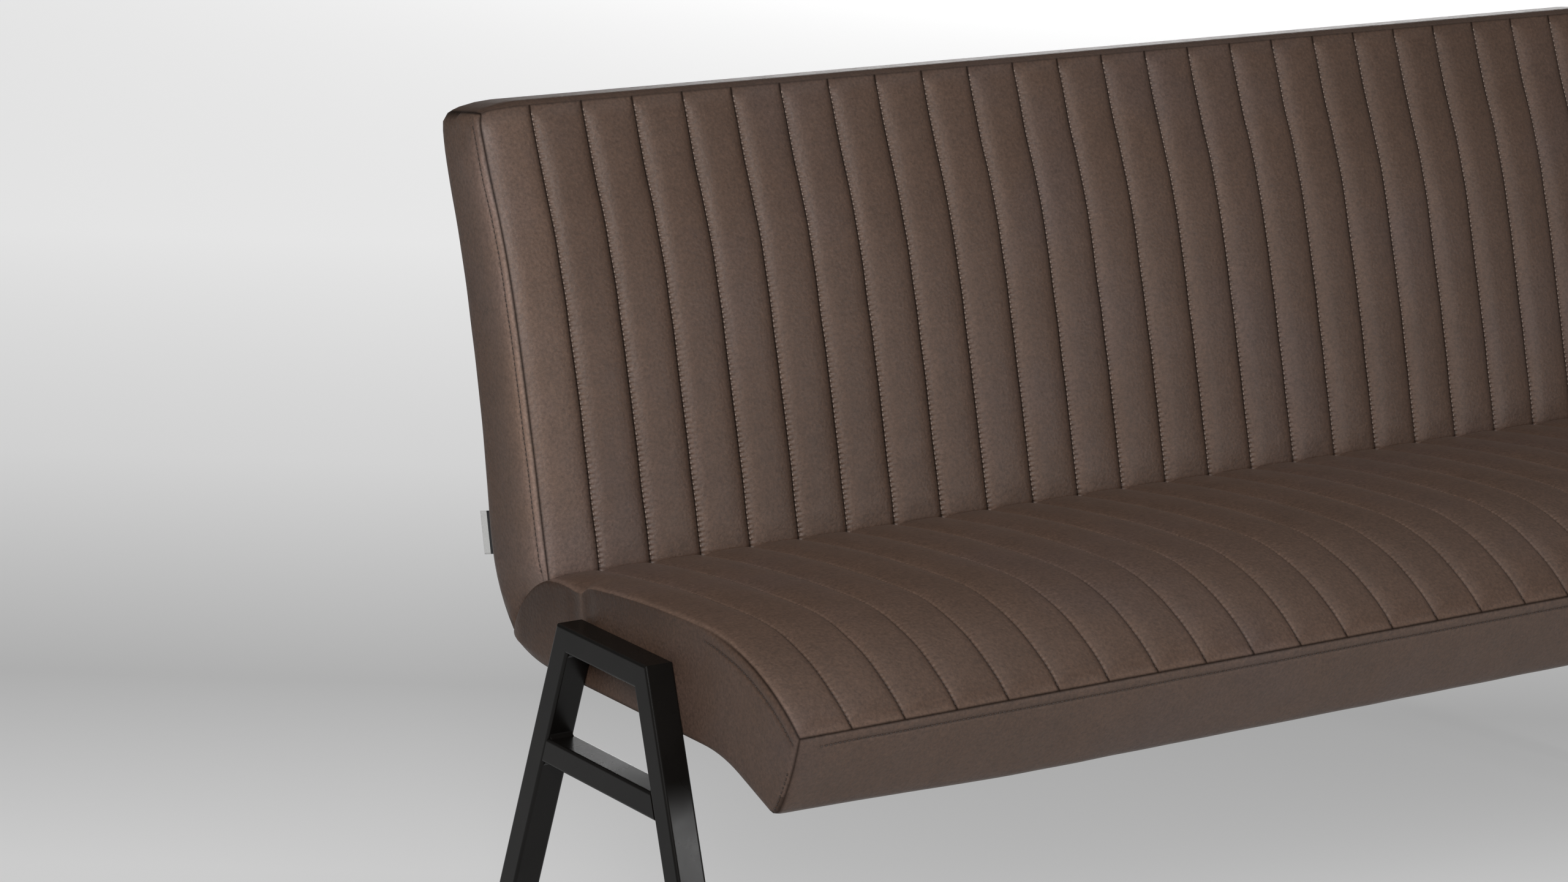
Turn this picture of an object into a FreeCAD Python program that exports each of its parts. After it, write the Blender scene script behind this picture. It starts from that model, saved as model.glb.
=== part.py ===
import FreeCAD, Part
import math
import os
from collections import namedtuple

# Dining bench with a channel-sewn seat and back on two A-shaped frames of steel tube.
# Millimetres. X runs along the bench, -Y is the front, Z is up, the floor is Z = 0.
# Side outlines are drawn in (y, z) and carried along X.

# Overall sizes
overall_length = 1550.0
tube_x = 30.0
tube_deep = 25.0
tube_wall = 1.8
tube_round = 3.0
tube_end = overall_length / 2
shell_end = tube_end - tube_x
crease = (107.7, 458.0)
beyond = 2 * overall_length

# Sewn channels and the layers of the upholstery
channel_count = 26
channel_crown = 4.5
quilt_pad = 4.0
border_thick = 4.0
cover_thick = 3.0
lining_thick = 2.0
dust_thick = 1.0
band_bulge = 3.5
lip_back = 267.0
lining_start = 1.0
inner_end = shell_end - border_thick

# Wooden frames, and how far each layer stays behind the one outside it
board = 18.0
board_face = inner_end - board
side_foam = 16.0
seat_foam_deep = 40.0
back_foam_deep = 34.0
foam_gap = 0.4
panel_edge = 12.0
hollow_edge = 14.0
beam_edge = 16.0
panel_roll = 8.0
hollow_roll = 16.0
beam_roll = 18.0
hollow_open = 6.0
cover_gap = 2.0
strap_thick = 2.0
strap_wide = 50.0
seat_strap_count = 7
back_strap_count = 5
seat_strap_ends = (18.0, 26.0)
back_strap_ends = (30.0, 34.0)
inner_rib_x = 247.0
inner_rib_sides = (inner_rib_x - board / 2, inner_rib_x + board / 2)
front_beam_back = crease[0] - 338.0
rear_beam_front = crease[0] - 32.0
top_beam_low = crease[1] + 352.0
bottom_beam_high = crease[1] + 42.0
bottom_beam_low = crease[1] - 20.0
post_low = crease[1] - 62.0
neck_reach = 14.0
neck_ends = (20.0, 14.0)
tenon_long = 12.0

# Tenons of the beams: ranges of y and of z, measured from the crease
front_tenon_span = (-372.0, -348.0, -95.0, -72.0)
rear_tenon_span = (-25.0, 5.0, -75.0, -58.0)
top_tenon_span = (166.0, 186.0, 360.0, 388.0)
bottom_tenon_span = (62.0, 84.0, 0.0, 28.0)

# Leg frames
frame_y = crease[0] - 141.0
frame_top = crease[1] - 20.4
rail_half = 75.7
splay = 18.55
cross_top = frame_top - 115.6
foot_flange = 4.0
foot_insert = 28.0
weld_leg = 4.5
weld_dip = 0.7

# Bolts from the side panels into nuts in the top rails
bolt_spread = 40.0
bolt_z = frame_top - tube_deep / 2
bolt_shank = 8.0
bolt_across = 13.0
bolt_head = 5.5
bolt_short = 1.0
nut_across = 11.0
nut_long = 15.0
cloth_slit = 12.0
head_room = 24.0

# Blank tab in the rear side seam
tab_thick = 1.2
tab_high = 38.0
tab_sewn_in = 4.0
tab_free = 9.0
tab_along_rear = 79.0

# A side outline: start point, heading in degrees from +Y towards +Z, runs of (length, bend in
# degrees), and the side of travel, +1 left or -1 right, on which the upholstery lies.
Curve = namedtuple("Curve", "start heading runs inward")

seat_top = Curve(crease, 170.0, [(256.0, 9.5), (176.0, 42.0)], 1)
seat_roll = Curve(crease, -20.0, [(90.0, -54.0), (9.0, -82.0), (66.0, -24.0)], -1)
back_start = (crease[0], crease[1] + 5.0)
back_face = Curve(back_start, 76.0, [(247.0, -3.0), (108.0, -9.0), (84.0, 5.0)], -1)


def ahead(point, heading, length, bend):
    half = math.radians(bend) / 2
    chord = length * math.sin(half) / half if half else length
    along = math.radians(heading) + half
    return (point[0] + chord * math.cos(along), point[1] + chord * math.sin(along))


def inset(curve, depth):
    # The same curve, moved square to itself into the upholstery.
    side = curve.inward * depth
    turn = math.radians(curve.heading)
    start = (curve.start[0] - side * math.sin(turn), curve.start[1] + side * math.cos(turn))
    runs = [(length - side * math.radians(bend), bend) for length, bend in curve.runs]
    return Curve(start, curve.heading, runs, curve.inward)


def stations(curve):
    # Start point, heading, length and bend of each run, then the end of the curve.
    point, heading = curve.start, curve.heading
    found = []
    for length, bend in curve.runs:
        found.append((point, heading, length, bend))
        point = ahead(point, heading, length, bend)
        heading += bend
    return found, point, heading


def end_of(curve):
    return stations(curve)[1]


def trimmed(curve, early, late):
    # The curve without a length of its first run and a length of its last run.
    runs = list(curve.runs)
    length, bend = runs[0]
    start = ahead(curve.start, curve.heading, early, bend * early / length)
    heading = curve.heading + bend * early / length
    runs[0] = (length - early, bend * (1 - early / length))
    length, bend = runs[-1]
    runs[-1] = (length - late, bend * (1 - late / length))
    return Curve(start, heading, runs, curve.inward)


def trace(curve, depth=0.0):
    # The curve as pieces: two points for a line, three for an arc.
    pieces = []
    for point, heading, length, bend in stations(inset(curve, depth))[0]:
        last = ahead(point, heading, length, bend)
        if bend:
            pieces.append((point, ahead(point, heading, length / 2, bend / 2), last))
        else:
            pieces.append((point, last))
    return pieces


def chord(curve):
    # The straight line between the ends of a curve.
    start, stop = curve.start, end_of(curve)
    dy, dz = stop[0] - start[0], stop[1] - start[1]
    return Curve(start, math.degrees(math.atan2(dz, dy)), [(math.hypot(dy, dz), 0.0)], curve.inward)


def turned(pieces):
    return [piece[::-1] for piece in reversed(pieces)]


def bow(start, stop, rise):
    # One shallow arc that stands off to the left of its chord.
    dy, dz = stop[0] - start[0], stop[1] - start[1]
    span = math.hypot(dy, dz)
    middle = ((start[0] + stop[0]) / 2 - dz / span * rise, (start[1] + stop[1]) / 2 + dy / span * rise)
    return [(start, middle, stop)]


def polygon(*points):
    return list(zip(points, points[1:] + points[:1]))


def ring(*paths):
    # Joins paths into one closed face in the plane X = 0, with lines across the gaps.
    pieces = [piece for path in paths for piece in path]
    edges = []
    for piece, following in zip(pieces, pieces[1:] + pieces[:1]):
        points = [FreeCAD.Vector(0, *point) for point in piece]
        kind = Part.Arc if len(points) == 3 else Part.LineSegment
        edges.append(kind(*points).toShape())
        onward = FreeCAD.Vector(0, *following[0])
        if points[-1].distanceToPoint(onward) > 1e-4:
            edges.append(Part.LineSegment(points[-1], onward).toShape())
    return Part.Face(Part.Wire(edges))


def prism(face, x_low, x_high):
    moved = face.translated(FreeCAD.Vector(x_low, 0, 0))
    return moved.extrude(FreeCAD.Vector(x_high - x_low, 0, 0))


def slab(x_low, x_high, y_low, y_high, z_low, z_high):
    size = (x_high - x_low, y_high - y_low, z_high - z_low)
    return Part.makeBox(*size, FreeCAD.Vector(x_low, y_low, z_low))


def rod(x_low, x_high, point, diameter):
    base = FreeCAD.Vector(x_low, *point)
    return Part.makeCylinder(diameter / 2, x_high - x_low, base, FreeCAD.Vector(1, 0, 0))


def block(x_low, x_high, point, width):
    half = width / 2
    return slab(x_low, x_high, point[0] - half, point[0] + half, point[1] - half, point[1] + half)


def hexagon(point, across):
    corners = [ahead(point, 60.0 * number, across / math.sqrt(3.0), 0.0) for number in range(6)]
    return ring(polygon(*corners))


def mirrored(solid):
    return solid.mirror(FreeCAD.Vector(0, 0, 0), FreeCAD.Vector(1, 0, 0))


def both_ends(*solids):
    return list(solids) + [mirrored(solid) for solid in solids]


def group(solids):
    return Part.makeCompound(solids)


def quilt(curve):
    # A padded panel with one crowned channel after another, carried round each arc of the curve.
    pitch = 2 * shell_end / channel_count
    spans = []
    for point, heading, length, bend in stations(curve)[0]:
        turn = math.radians(heading)
        out = (curve.inward * math.sin(turn), -curve.inward * math.cos(turn))

        def at(x, height):
            return FreeCAD.Vector(x, point[0] + out[0] * height, point[1] + out[1] * height)

        edges = []
        for number in range(channel_count):
            low = -shell_end + number * pitch
            crest = at(low + pitch / 2, channel_crown)
            edges.append(Part.Arc(at(low, 0), crest, at(low + pitch, 0)).toShape())
        under = [at(shell_end, -quilt_pad), at(-shell_end, -quilt_pad)]
        corners = [at(shell_end, 0)] + under + [at(-shell_end, 0)]
        edges += [Part.LineSegment(a, b).toShape() for a, b in zip(corners, corners[1:])]
        face = Part.Face(Part.Wire(edges))
        radius = length / math.radians(bend)
        middle = (point[0] - radius * math.sin(turn), point[1] + radius * math.cos(turn))
        spans.append(face.revolve(FreeCAD.Vector(0, *middle), FreeCAD.Vector(1, 0, 0), bend))
    return spans[0].multiFuse(spans[1:])


# Seat outlines

under_back = Curve(crease, seat_roll.heading, seat_roll.runs[:1], -1)
flat_end = end_of(seat_roll)
front_seam = end_of(seat_top)
seat_lip = Curve((crease[0] - lip_back, flat_end[1]), 180.0, [(60.0, 19.0), (62.0, 0.0)], -1)
seat_web = chord(inset(seat_top, seat_foam_deep))


def seat_ring(top, front, under, rear):
    # The seat's side outline below a top line, with layers taken off front, underside and rear roll.
    lip = trimmed(inset(seat_lip, under), 0.0, front)
    band = bow(end_of(top), end_of(lip), -band_bulge)
    if rear <= lining_thick:
        flat = [(lip.start, (flat_end[0], flat_end[1] + under))]
        behind = trace(trimmed(inset(seat_roll, rear), rear, 0.0))
    else:
        step = flat_end[0] - lining_thick
        step_top = flat_end[1] + 2 * lining_thick
        flat = polygon(lip.start, (step, flat_end[1] + under), (step, step_top))[:2]
        behind = trace(trimmed(inset(under_back, rear), rear, 0.0))
    return ring(trace(top), band, turned(trace(lip)), flat, turned(behind))


def front_border():
    outer = bow(front_seam, end_of(seat_lip), -band_bulge)
    inner_low = end_of(trimmed(seat_lip, 0.0, border_thick))
    inner = bow(end_of(inset(seat_top, quilt_pad)), inner_low, -band_bulge)
    return prism(ring(outer, turned(inner)), -shell_end, shell_end)


def rear_lining():
    roll = trimmed(seat_roll, lining_start, 0.0)
    return prism(ring(trace(roll), turned(trace(roll, lining_thick))), -inner_end, inner_end)


def dust_cover():
    outer = trimmed(seat_lip, 0.0, border_thick)
    rear = [(flat_end, outer.start)]
    rear_inside = [(inset(outer, dust_thick).start, (flat_end[0], flat_end[1] + dust_thick))]
    sheet = ring(rear, trace(outer), turned(trace(outer, dust_thick)), rear_inside)
    return prism(sheet, -inner_end, inner_end)


# Back outlines

tail, tail_heading = stations(under_back)[1:]
back_seam = end_of(back_face)
back_web = chord(inset(back_face, back_foam_deep))
back_rear = Curve(tail, 45.0, [(74.0, 31.0), (104.0, 2.8), (290.0, -10.3), (22.0, 22.0)], 1)
tail_angle = math.radians(180.0 + tail_heading - back_rear.heading)
rear_stop, rear_heading = stations(back_rear)[1:]
back_corner = Curve(rear_stop, rear_heading, [(17.0, 81.5)], 1)
corner_stop, crown_heading = stations(back_corner)[1:]
crown_long = (back_seam[0] - corner_stop[0]) / math.cos(math.radians(crown_heading))
back_crown = Curve(corner_stop, crown_heading, [(crown_long, 0.0)], 1)


def rear_line(depth):
    # The rear outline at a depth, started where it leaves the line under the back.
    return trimmed(inset(back_rear, depth), depth / math.tan(tail_angle), 0.0)


def back_ring(face, crown, rear):
    # The back's side outline behind a face line, with a layer taken off its top and rear.
    depth = math.dist(face.start, back_start)
    front = trace(trimmed(face, 0.0, crown))
    top = trace(trimmed(inset(back_crown, crown), 0.0, depth))
    corner = trace(back_corner, crown) if crown <= border_thick else []
    low = trace(trimmed(under_back, depth, rear / math.sin(tail_angle)))
    return ring(front, turned(top), turned(corner), turned(trace(rear_line(rear))), turned(low))


def top_border():
    seam = [(back_seam, end_of(inset(back_face, quilt_pad)))]
    outer = trace(back_corner) + trace(back_crown)
    inner_crown = trimmed(inset(back_crown, border_thick), 0.0, quilt_pad)
    inner = trace(back_corner, border_thick) + trace(inner_crown)
    return prism(ring(outer, seam, turned(inner)), -shell_end, shell_end)


def rear_cover():
    sheet = ring(trace(back_rear), turned(trace(rear_line(cover_thick))))
    return prism(sheet, -shell_end, shell_end)


def side_tab():
    # A blank tab on the left end along the rear cover's edge, its free half standing out behind.
    edge = Curve(*stations(back_rear)[0][1][:2], [(tab_high, 0.0)], 1)
    low = ahead(edge.start, edge.heading, tab_along_rear - back_rear.runs[0][0], 0.0)
    edge = Curve(low, edge.heading, edge.runs, 1)
    outline = ring(trace(edge, -tab_free), turned(trace(edge, tab_sewn_in)))
    return prism(outline, -shell_end - tab_thick, -shell_end)


# Bolts and tenons at the right end

bolt_points = [(frame_y + side * bolt_spread, bolt_z) for side in (-1, 1)]
bolt_stop = shell_end + nut_long - bolt_short
head_start = board_face - bolt_head
pocket_start = board_face - 2 * bolt_head
shanks = [rod(board_face, bolt_stop, point, bolt_shank) for point in bolt_points]
heads = [prism(hexagon(point, bolt_across), head_start, board_face) for point in bolt_points]
pockets = [block(pocket_start, board_face, point, head_room) for point in bolt_points]


def tenon(y_low, y_high, z_low, z_high):
    y, z = crease
    return slab(board_face, board_face + tenon_long, y + y_low, y + y_high, z + z_low, z + z_high)


front_tenon = tenon(*front_tenon_span)
rear_tenon = tenon(*rear_tenon_span)
top_tenon = tenon(*top_tenon_span)
bottom_tenon = tenon(*bottom_tenon_span)
tenons = [front_tenon, rear_tenon, top_tenon, bottom_tenon]


def side_panel():
    # One board for the end of the seat and of the back, joined by a neck under the crease.
    rib = seat_ring(inset(seat_top, side_foam), panel_edge, dust_thick, panel_roll)
    post = back_ring(inset(back_face, side_foam), panel_edge, cover_thick + cover_gap)
    strip = trimmed(under_back, *neck_ends)
    neck = ring(trace(strip, -neck_reach), turned(trace(strip, neck_reach)))
    rib, post, neck = [prism(face, board_face, inner_end) for face in (rib, post, neck)]
    post = post.common(slab(0, beyond, 0, beyond, post_low, beyond))
    return rib.fuse([post, neck]).removeSplitter()


panel = side_panel()


def straps(web, ends, count):
    line = trimmed(web, *ends)
    face = ring(trace(line), turned(trace(line, strap_thick)))
    reach = board_face - strap_wide
    step = (2 * reach - strap_wide) / (count - 1)
    lows = [-reach + number * step for number in range(count)]
    return group([prism(face, low, low + strap_wide) for low in lows])


# Seat

def seat_pieces():
    hollow = seat_ring(seat_web, hollow_edge, -hollow_open, hollow_roll)
    hollow = prism(hollow, -board_face, board_face)
    frame = seat_ring(inset(seat_web, strap_thick), beam_edge, dust_thick, beam_roll)
    frame = prism(frame, -board_face, board_face).common(hollow)
    front_beam = frame.common(slab(-beyond, beyond, -beyond, front_beam_back, 0, beyond))
    rear_beam = frame.common(slab(-beyond, beyond, rear_beam_front, beyond, 0, beyond))
    between = slab(*inner_rib_sides, front_beam_back, rear_beam_front, 0, beyond)
    under_quilt = inset(seat_top, quilt_pad)
    foam = seat_ring(under_quilt, border_thick + foam_gap, dust_thick, lining_thick)
    foam = prism(foam, -inner_end, inner_end)
    border = prism(seat_ring(under_quilt, border_thick, 0.0, 0.0), inner_end, shell_end)
    slits = [block(inner_end, shell_end, point, cloth_slit) for point in bolt_points]
    save("seat_quilt", quilt(seat_top))
    save("seat_front_border", front_border())
    save("seat_rear_lining", rear_lining().cut(both_ends(panel)))
    save("seat_dust_cover", dust_cover())
    save("seat_foam", foam.cut([hollow] + both_ends(panel, *pockets)))
    save("seat_webbing", straps(seat_web, seat_strap_ends, seat_strap_count))
    save("seat_front_beam", front_beam.fuse(both_ends(front_tenon)).removeSplitter())
    save("seat_rear_beam", rear_beam.fuse(both_ends(rear_tenon)).removeSplitter())
    save_pair("inner_seat_rib", frame.common(between))
    save_pair("seat_border", border.cut(slits))


# Back

def back_pieces():
    hollow = back_ring(back_web, hollow_edge, cover_thick - foam_gap)
    hollow = prism(hollow, -board_face, board_face)
    hollow = hollow.common(slab(-beyond, beyond, 0, beyond, bottom_beam_low, beyond))
    frame = back_ring(inset(back_web, strap_thick), beam_edge, cover_thick + cover_gap)
    frame = prism(frame, -board_face, board_face).common(hollow)
    top_beam = frame.common(slab(-beyond, beyond, 0, beyond, top_beam_low, beyond))
    bottom_beam = frame.common(slab(-beyond, beyond, 0, beyond, bottom_beam_low, bottom_beam_high))
    between = slab(*inner_rib_sides, 0, beyond, bottom_beam_high, top_beam_low)
    filling = back_ring(inset(back_face, quilt_pad), border_thick, cover_thick)
    foam = prism(filling, -inner_end, inner_end)
    save("back_quilt", quilt(back_face))
    save("back_top_border", top_border())
    save("back_rear_cover", rear_cover())
    save("back_foam", foam.cut([hollow] + both_ends(panel)))
    save("back_webbing", straps(back_web, back_strap_ends, back_strap_count))
    save("back_top_beam", top_beam.fuse(both_ends(top_tenon)).removeSplitter())
    save("back_bottom_beam", bottom_beam.fuse(both_ends(bottom_tenon)).removeSplitter())
    save_pair("inner_back_post", frame.common(between))
    save_pair("back_border", prism(filling, inner_end, shell_end))
    save("side_tab", side_tab())


# Leg frame at the right end

def leg_y(height, end, depth):
    # Where a leg's outer face, or a plane at a depth behind it, stands at a height.
    angle = math.radians(splay)
    spread = rail_half + (frame_top - height) * math.tan(angle)
    return frame_y + end * (spread - depth / math.cos(angle))


def leg_point(height, end, depth):
    return (leg_y(height, end, depth), height)


def between_points(start, stop, part):
    return (start[0] + (stop[0] - start[0]) * part, start[1] + (stop[1] - start[1]) * part)


def tube(outer_first, outer_last, inner_last, inner_first):
    # A rectangular tube between two cut ends, with rounded long edges and an open bore.
    outline = ring(polygon(outer_first, outer_last, inner_last, inner_first))
    body = prism(outline, shell_end, tube_end)
    long_edges = [edge for edge in body.Edges if edge.Length > 2 * tube_x]
    body = body.makeFillet(tube_round, long_edges)
    wall = tube_wall / tube_deep
    crossings = [(outer_first, inner_first), (outer_last, inner_last)]
    crossings += [(inner_last, outer_last), (inner_first, outer_first)]
    bore = polygon(*[between_points(start, stop, wall) for start, stop in crossings])
    return body.cut(prism(ring(bore), shell_end + tube_wall, tube_end - tube_wall))


def leg(end):
    corner = leg_point(frame_top, end, 0.0)
    inner_corner = leg_point(frame_top - tube_deep, end, tube_deep)
    sole = leg_point(foot_flange, end, 0.0)
    inner_sole = leg_point(foot_flange, end, tube_deep)
    return tube(corner, sole, inner_sole, inner_corner)


def foot(end):
    # A floor flange under the leg and a plug that fills the bore above it.
    def level(height, depth):
        return leg_point(height, end, depth), leg_point(height, end, tube_deep - depth)

    floor_front, floor_rear = level(0.0, 0.0)
    top_front, top_rear = level(foot_flange, 0.0)
    flange = prism(ring(polygon(floor_front, floor_rear, top_rear, top_front)), shell_end, tube_end)
    low_front, low_rear = level(foot_flange, tube_wall)
    high_front, high_rear = level(foot_flange + foot_insert, tube_wall)
    plug = ring(polygon(low_front, low_rear, high_rear, high_front))
    plug = prism(plug, shell_end + tube_wall, tube_end - tube_wall)
    return flange.fuse(plug).removeSplitter()


def bead(corner, first, second):
    # A hollow-faced weld in the corner between two directions.
    start = ahead(corner, first, weld_leg, 0.0)
    stop = ahead(corner, second, weld_leg, 0.0)
    turn = (second - first + 180.0) % 360.0 - 180.0
    face = bow(start, stop, math.copysign(weld_dip, turn))
    return prism(ring(face, [(stop, corner)]), shell_end + tube_round, tube_end - tube_round)


def welds():
    beads = []
    for end in (-1, 1):
        inward = 180.0 if end > 0 else 0.0
        down = -90.0 + end * splay
        beads.append(bead(leg_point(frame_top - tube_deep, end, tube_deep), inward, down))
        beads.append(bead(leg_point(cross_top, end, tube_deep), inward, down + 180.0))
        beads.append(bead(leg_point(cross_top - tube_deep, end, tube_deep), inward, down))
    return group(beads)


def frame_pieces():
    front, rear = -1, 1
    rail_low = frame_top - tube_deep
    cross_low = cross_top - tube_deep
    top_rail = tube(leg_point(frame_top, front, 0.0), leg_point(frame_top, rear, 0.0),
                    leg_point(rail_low, rear, tube_deep), leg_point(rail_low, front, tube_deep))
    cross_rail = tube(leg_point(cross_top, front, tube_deep), leg_point(cross_top, rear, tube_deep),
                      leg_point(cross_low, rear, tube_deep), leg_point(cross_low, front, tube_deep))
    nuts = [prism(hexagon(point, nut_across), shell_end, shell_end + nut_long) for point in bolt_points]
    save_pair("top_rail", top_rail.cut(nuts))
    save_pair("cross_rail", cross_rail)
    save_pair("front_leg", leg(front))
    save_pair("rear_leg", leg(rear))
    save_pair("front_foot", foot(front))
    save_pair("rear_foot", foot(rear))
    save_pair("weld_beads", welds())
    save_pair("side_panel", panel.cut(tenons + shanks))
    save("rail_nuts", group(both_ends(*[nut.cut(shanks) for nut in nuts])))
    save("frame_bolts", group(both_ends(*[head.fuse(shank) for head, shank in zip(heads, shanks)])))


def save(name, shape):
    shape.exportStep(os.path.join("parts", name + ".step"))
    litres = shape.Volume / 1e6
    print(f"{name}: {len(shape.Solids)} solid(s), {litres:.4f} l, valid {shape.isValid()}")


def save_pair(name, shape):
    save("right_" + name, shape)
    save("left_" + name, mirrored(shape))


os.makedirs("parts", exist_ok=True)
seat_pieces()
back_pieces()
frame_pieces()
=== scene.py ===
import bpy
import math
import numpy as np
from mathutils import Matrix


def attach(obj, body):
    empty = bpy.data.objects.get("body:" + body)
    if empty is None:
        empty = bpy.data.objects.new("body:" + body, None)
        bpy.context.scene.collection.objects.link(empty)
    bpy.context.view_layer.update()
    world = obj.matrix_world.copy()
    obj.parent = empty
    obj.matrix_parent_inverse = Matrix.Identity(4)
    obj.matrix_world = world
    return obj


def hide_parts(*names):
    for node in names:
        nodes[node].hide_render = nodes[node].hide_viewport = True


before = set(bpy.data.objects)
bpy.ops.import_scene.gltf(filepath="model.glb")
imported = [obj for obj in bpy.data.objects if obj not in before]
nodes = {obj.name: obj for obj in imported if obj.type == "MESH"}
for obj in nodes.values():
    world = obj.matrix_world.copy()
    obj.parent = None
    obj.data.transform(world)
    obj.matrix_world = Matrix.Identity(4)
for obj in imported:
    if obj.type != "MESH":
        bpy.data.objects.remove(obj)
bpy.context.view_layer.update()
print("frame loaded,", len(nodes), "nodes")

mm = 0.001
rng = np.random.default_rng(11)

# The bench's end seen from its left, in mm as (y, z). Each line has a heading in degrees from +y
# towards +z, runs of (length, bend), and the side of travel that faces outward, 1 right or -1 left.
benchEnd = {
    "crease": (107.7, 458.0),
    "seatTop": (170.0, [(256.0, 9.5), (176.0, 42.0)], 1),
    "seatRoll": (-20.0, [(90.0, -54.0), (9.0, -82.0), (66.0, -24.0)], -1),
    "seatLip": (180.0, [(60.0, 19.0), (62.0, 0.0)], -1),
    "lipBehind": 267.0,
    "backRise": 5.0,
    "backFace": (76.0, [(247.0, -3.0), (108.0, -9.0), (84.0, 5.0)], -1),
    "backRear": (45.0, [(74.0, 31.0), (104.0, 2.8), (290.0, -10.3), (22.0, 22.0)], 1),
    "backCorner": (90.5, [(17.0, 81.5)], 1),
    "seamX": 744.0,
    "bandBow": 3.5,
    "bandRound": 11.0,
    "pointsPerMm": 4,
}
# Number of points on each drawn path
pathPoints = {"bow": 160, "foot": 30, "roll": 120, "lip": 160, "tail": 40, "corner": 60, "rear": 400,
              "edge": 900, "low": 200, "lining": 200, "dust": 240}


def runningSum(steps):
    # The sum of the steps so far, from 0.
    return np.concatenate([[0.0], np.cumsum(steps)])


def outline(start, heading, runs, side):
    # Heading: the bends spread evenly over each run. Place: running sum of short steps along it.
    knots = runningSum([run[0] for run in runs])
    turns = heading + runningSum([run[1] for run in runs])
    s = np.linspace(0.0, knots[-1], 1 + int(knots[-1] * benchEnd["pointsPerMm"]))
    angle = np.radians(np.interp(s, knots, turns))
    middle, step = (angle[1:] + angle[:-1]) / 2, np.diff(s)
    y = start[0] + runningSum(np.cos(middle) * step)
    z = start[1] + runningSum(np.sin(middle) * step)
    return {"s": s, "y": y, "z": z, "angle": angle, "side": side, "long": knots[-1]}


def onLine(line, s, out=0.0):
    # Place at a length, straight on past both ends, moved outward square to the line.
    s = np.asarray(s, float)
    inside = np.clip(s, 0.0, line["long"])
    angle = np.interp(inside, line["s"], line["angle"])
    y = np.interp(inside, line["s"], line["y"]) + (s - inside) * np.cos(angle)
    z = np.interp(inside, line["s"], line["z"]) + (s - inside) * np.sin(angle)
    out = line["side"] * out
    return np.stack([y + out * np.sin(angle), z - out * np.cos(angle)], -1)


def pathLong(path):
    # Sum of the straight steps of a drawn path.
    return np.hypot(*np.diff(path, axis=0).T).sum()


def onPath(path, share):
    # Place at a share of a drawn path's length, by straight interpolation.
    reach = runningSum(np.hypot(*np.diff(path, axis=0).T))
    share = np.asarray(share) * reach[-1]
    return np.stack([np.interp(share, reach, path[:, 0]), np.interp(share, reach, path[:, 1])], -1)


def squareTo(path):
    # Unit directions square to a drawn path: its gradient turned by a right angle.
    turn = np.gradient(path, axis=0)
    return np.stack([turn[:, 1], -turn[:, 0]], -1) / np.hypot(*turn.T)[:, None]


def stretchTo(path, first, last):
    # Moves a path's ends onto two points, the shift fading evenly along it.
    share = np.linspace(0.0, 1.0, len(path))[:, None]
    return path + (1 - share) * (first - path[0]) + share * (last - path[-1])


def coons(first, last, left, right, across, along):
    # Blend of the two facing edges each way, less the blend of the four corners. The first and last
    # paths run along, the left and right paths run across.
    a, b = along[..., None], across[..., None]
    corners = (1 - b) * ((1 - a) * first[0] + a * first[-1]) + b * ((1 - a) * last[0] + a * last[-1])
    rows = (1 - b) * onPath(first, along) + b * onPath(last, along)
    columns = (1 - a) * onPath(left, across) + a * onPath(right, across)
    return rows + columns - corners


def ease(value):
    # Smooth step from 0 to 1: three times the square less twice the cube.
    value = np.clip(value, 0.0, 1.0)
    return value * value * (3 - 2 * value)


def bell(value, width):
    # Bell curve: e to minus the square of the value over its width.
    return np.exp(-(value / width) ** 2)


def strip(distance, amount, width, at=0.0):
    # An amount times a bell round a place.
    return amount * bell(distance - at, width)


def fade(value, start, length):
    # Smooth step that begins at a value and is whole after a length; a negative length runs down.
    return ease((value - start) / length)


def rise(distance, reach):
    # Leaves a seam steeply and levels off: one less e to minus the distance over its reach.
    return 1 - np.exp(-distance / reach)


def unevenness(a, b, amount, scale, terms=7, shortest=0.6, size=0.7):
    # Sum of sine waves in drawn directions and phases, their lengths drawn about the scale, brought to
    # about -1 to 1 and multiplied by the amount.
    total = np.zeros(np.broadcast(a, b).shape)
    for turn, phase, stretch in zip(*rng.uniform(0.0, 1.0, (3, terms))):
        turn, wave = turn * math.tau, 2 * math.pi / (scale * (shortest + stretch))
        total = total + np.sin((a * math.cos(turn) + b * math.sin(turn)) * wave + phase * math.tau)
    return amount * (total / math.sqrt(terms) * size)


crease = np.array(benchEnd["crease"])
seatTop = outline(crease, *benchEnd["seatTop"])
seatRoll = outline(crease, *benchEnd["seatRoll"])
underBackLong, tailLong = [run[0] for run in benchEnd["seatRoll"][1][:2]]
tail = onLine(seatRoll, underBackLong)
flatEnd = onLine(seatRoll, seatRoll["long"])
seatLip = outline((crease[0] - benchEnd["lipBehind"], flatEnd[1]), *benchEnd["seatLip"])
backFace = outline(crease + (0.0, benchEnd["backRise"]), *benchEnd["backFace"])
backRear = outline(tail, *benchEnd["backRear"])
backCorner = outline(onLine(backRear, backRear["long"]), *benchEnd["backCorner"])
frontSeam, lipEnd = onLine(seatTop, seatTop["long"]), onLine(seatLip, seatLip["long"])
backSeam, rearStop = onLine(backFace, backFace["long"]), onLine(backRear, backRear["long"])
seamX = benchEnd["seamX"]


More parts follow.
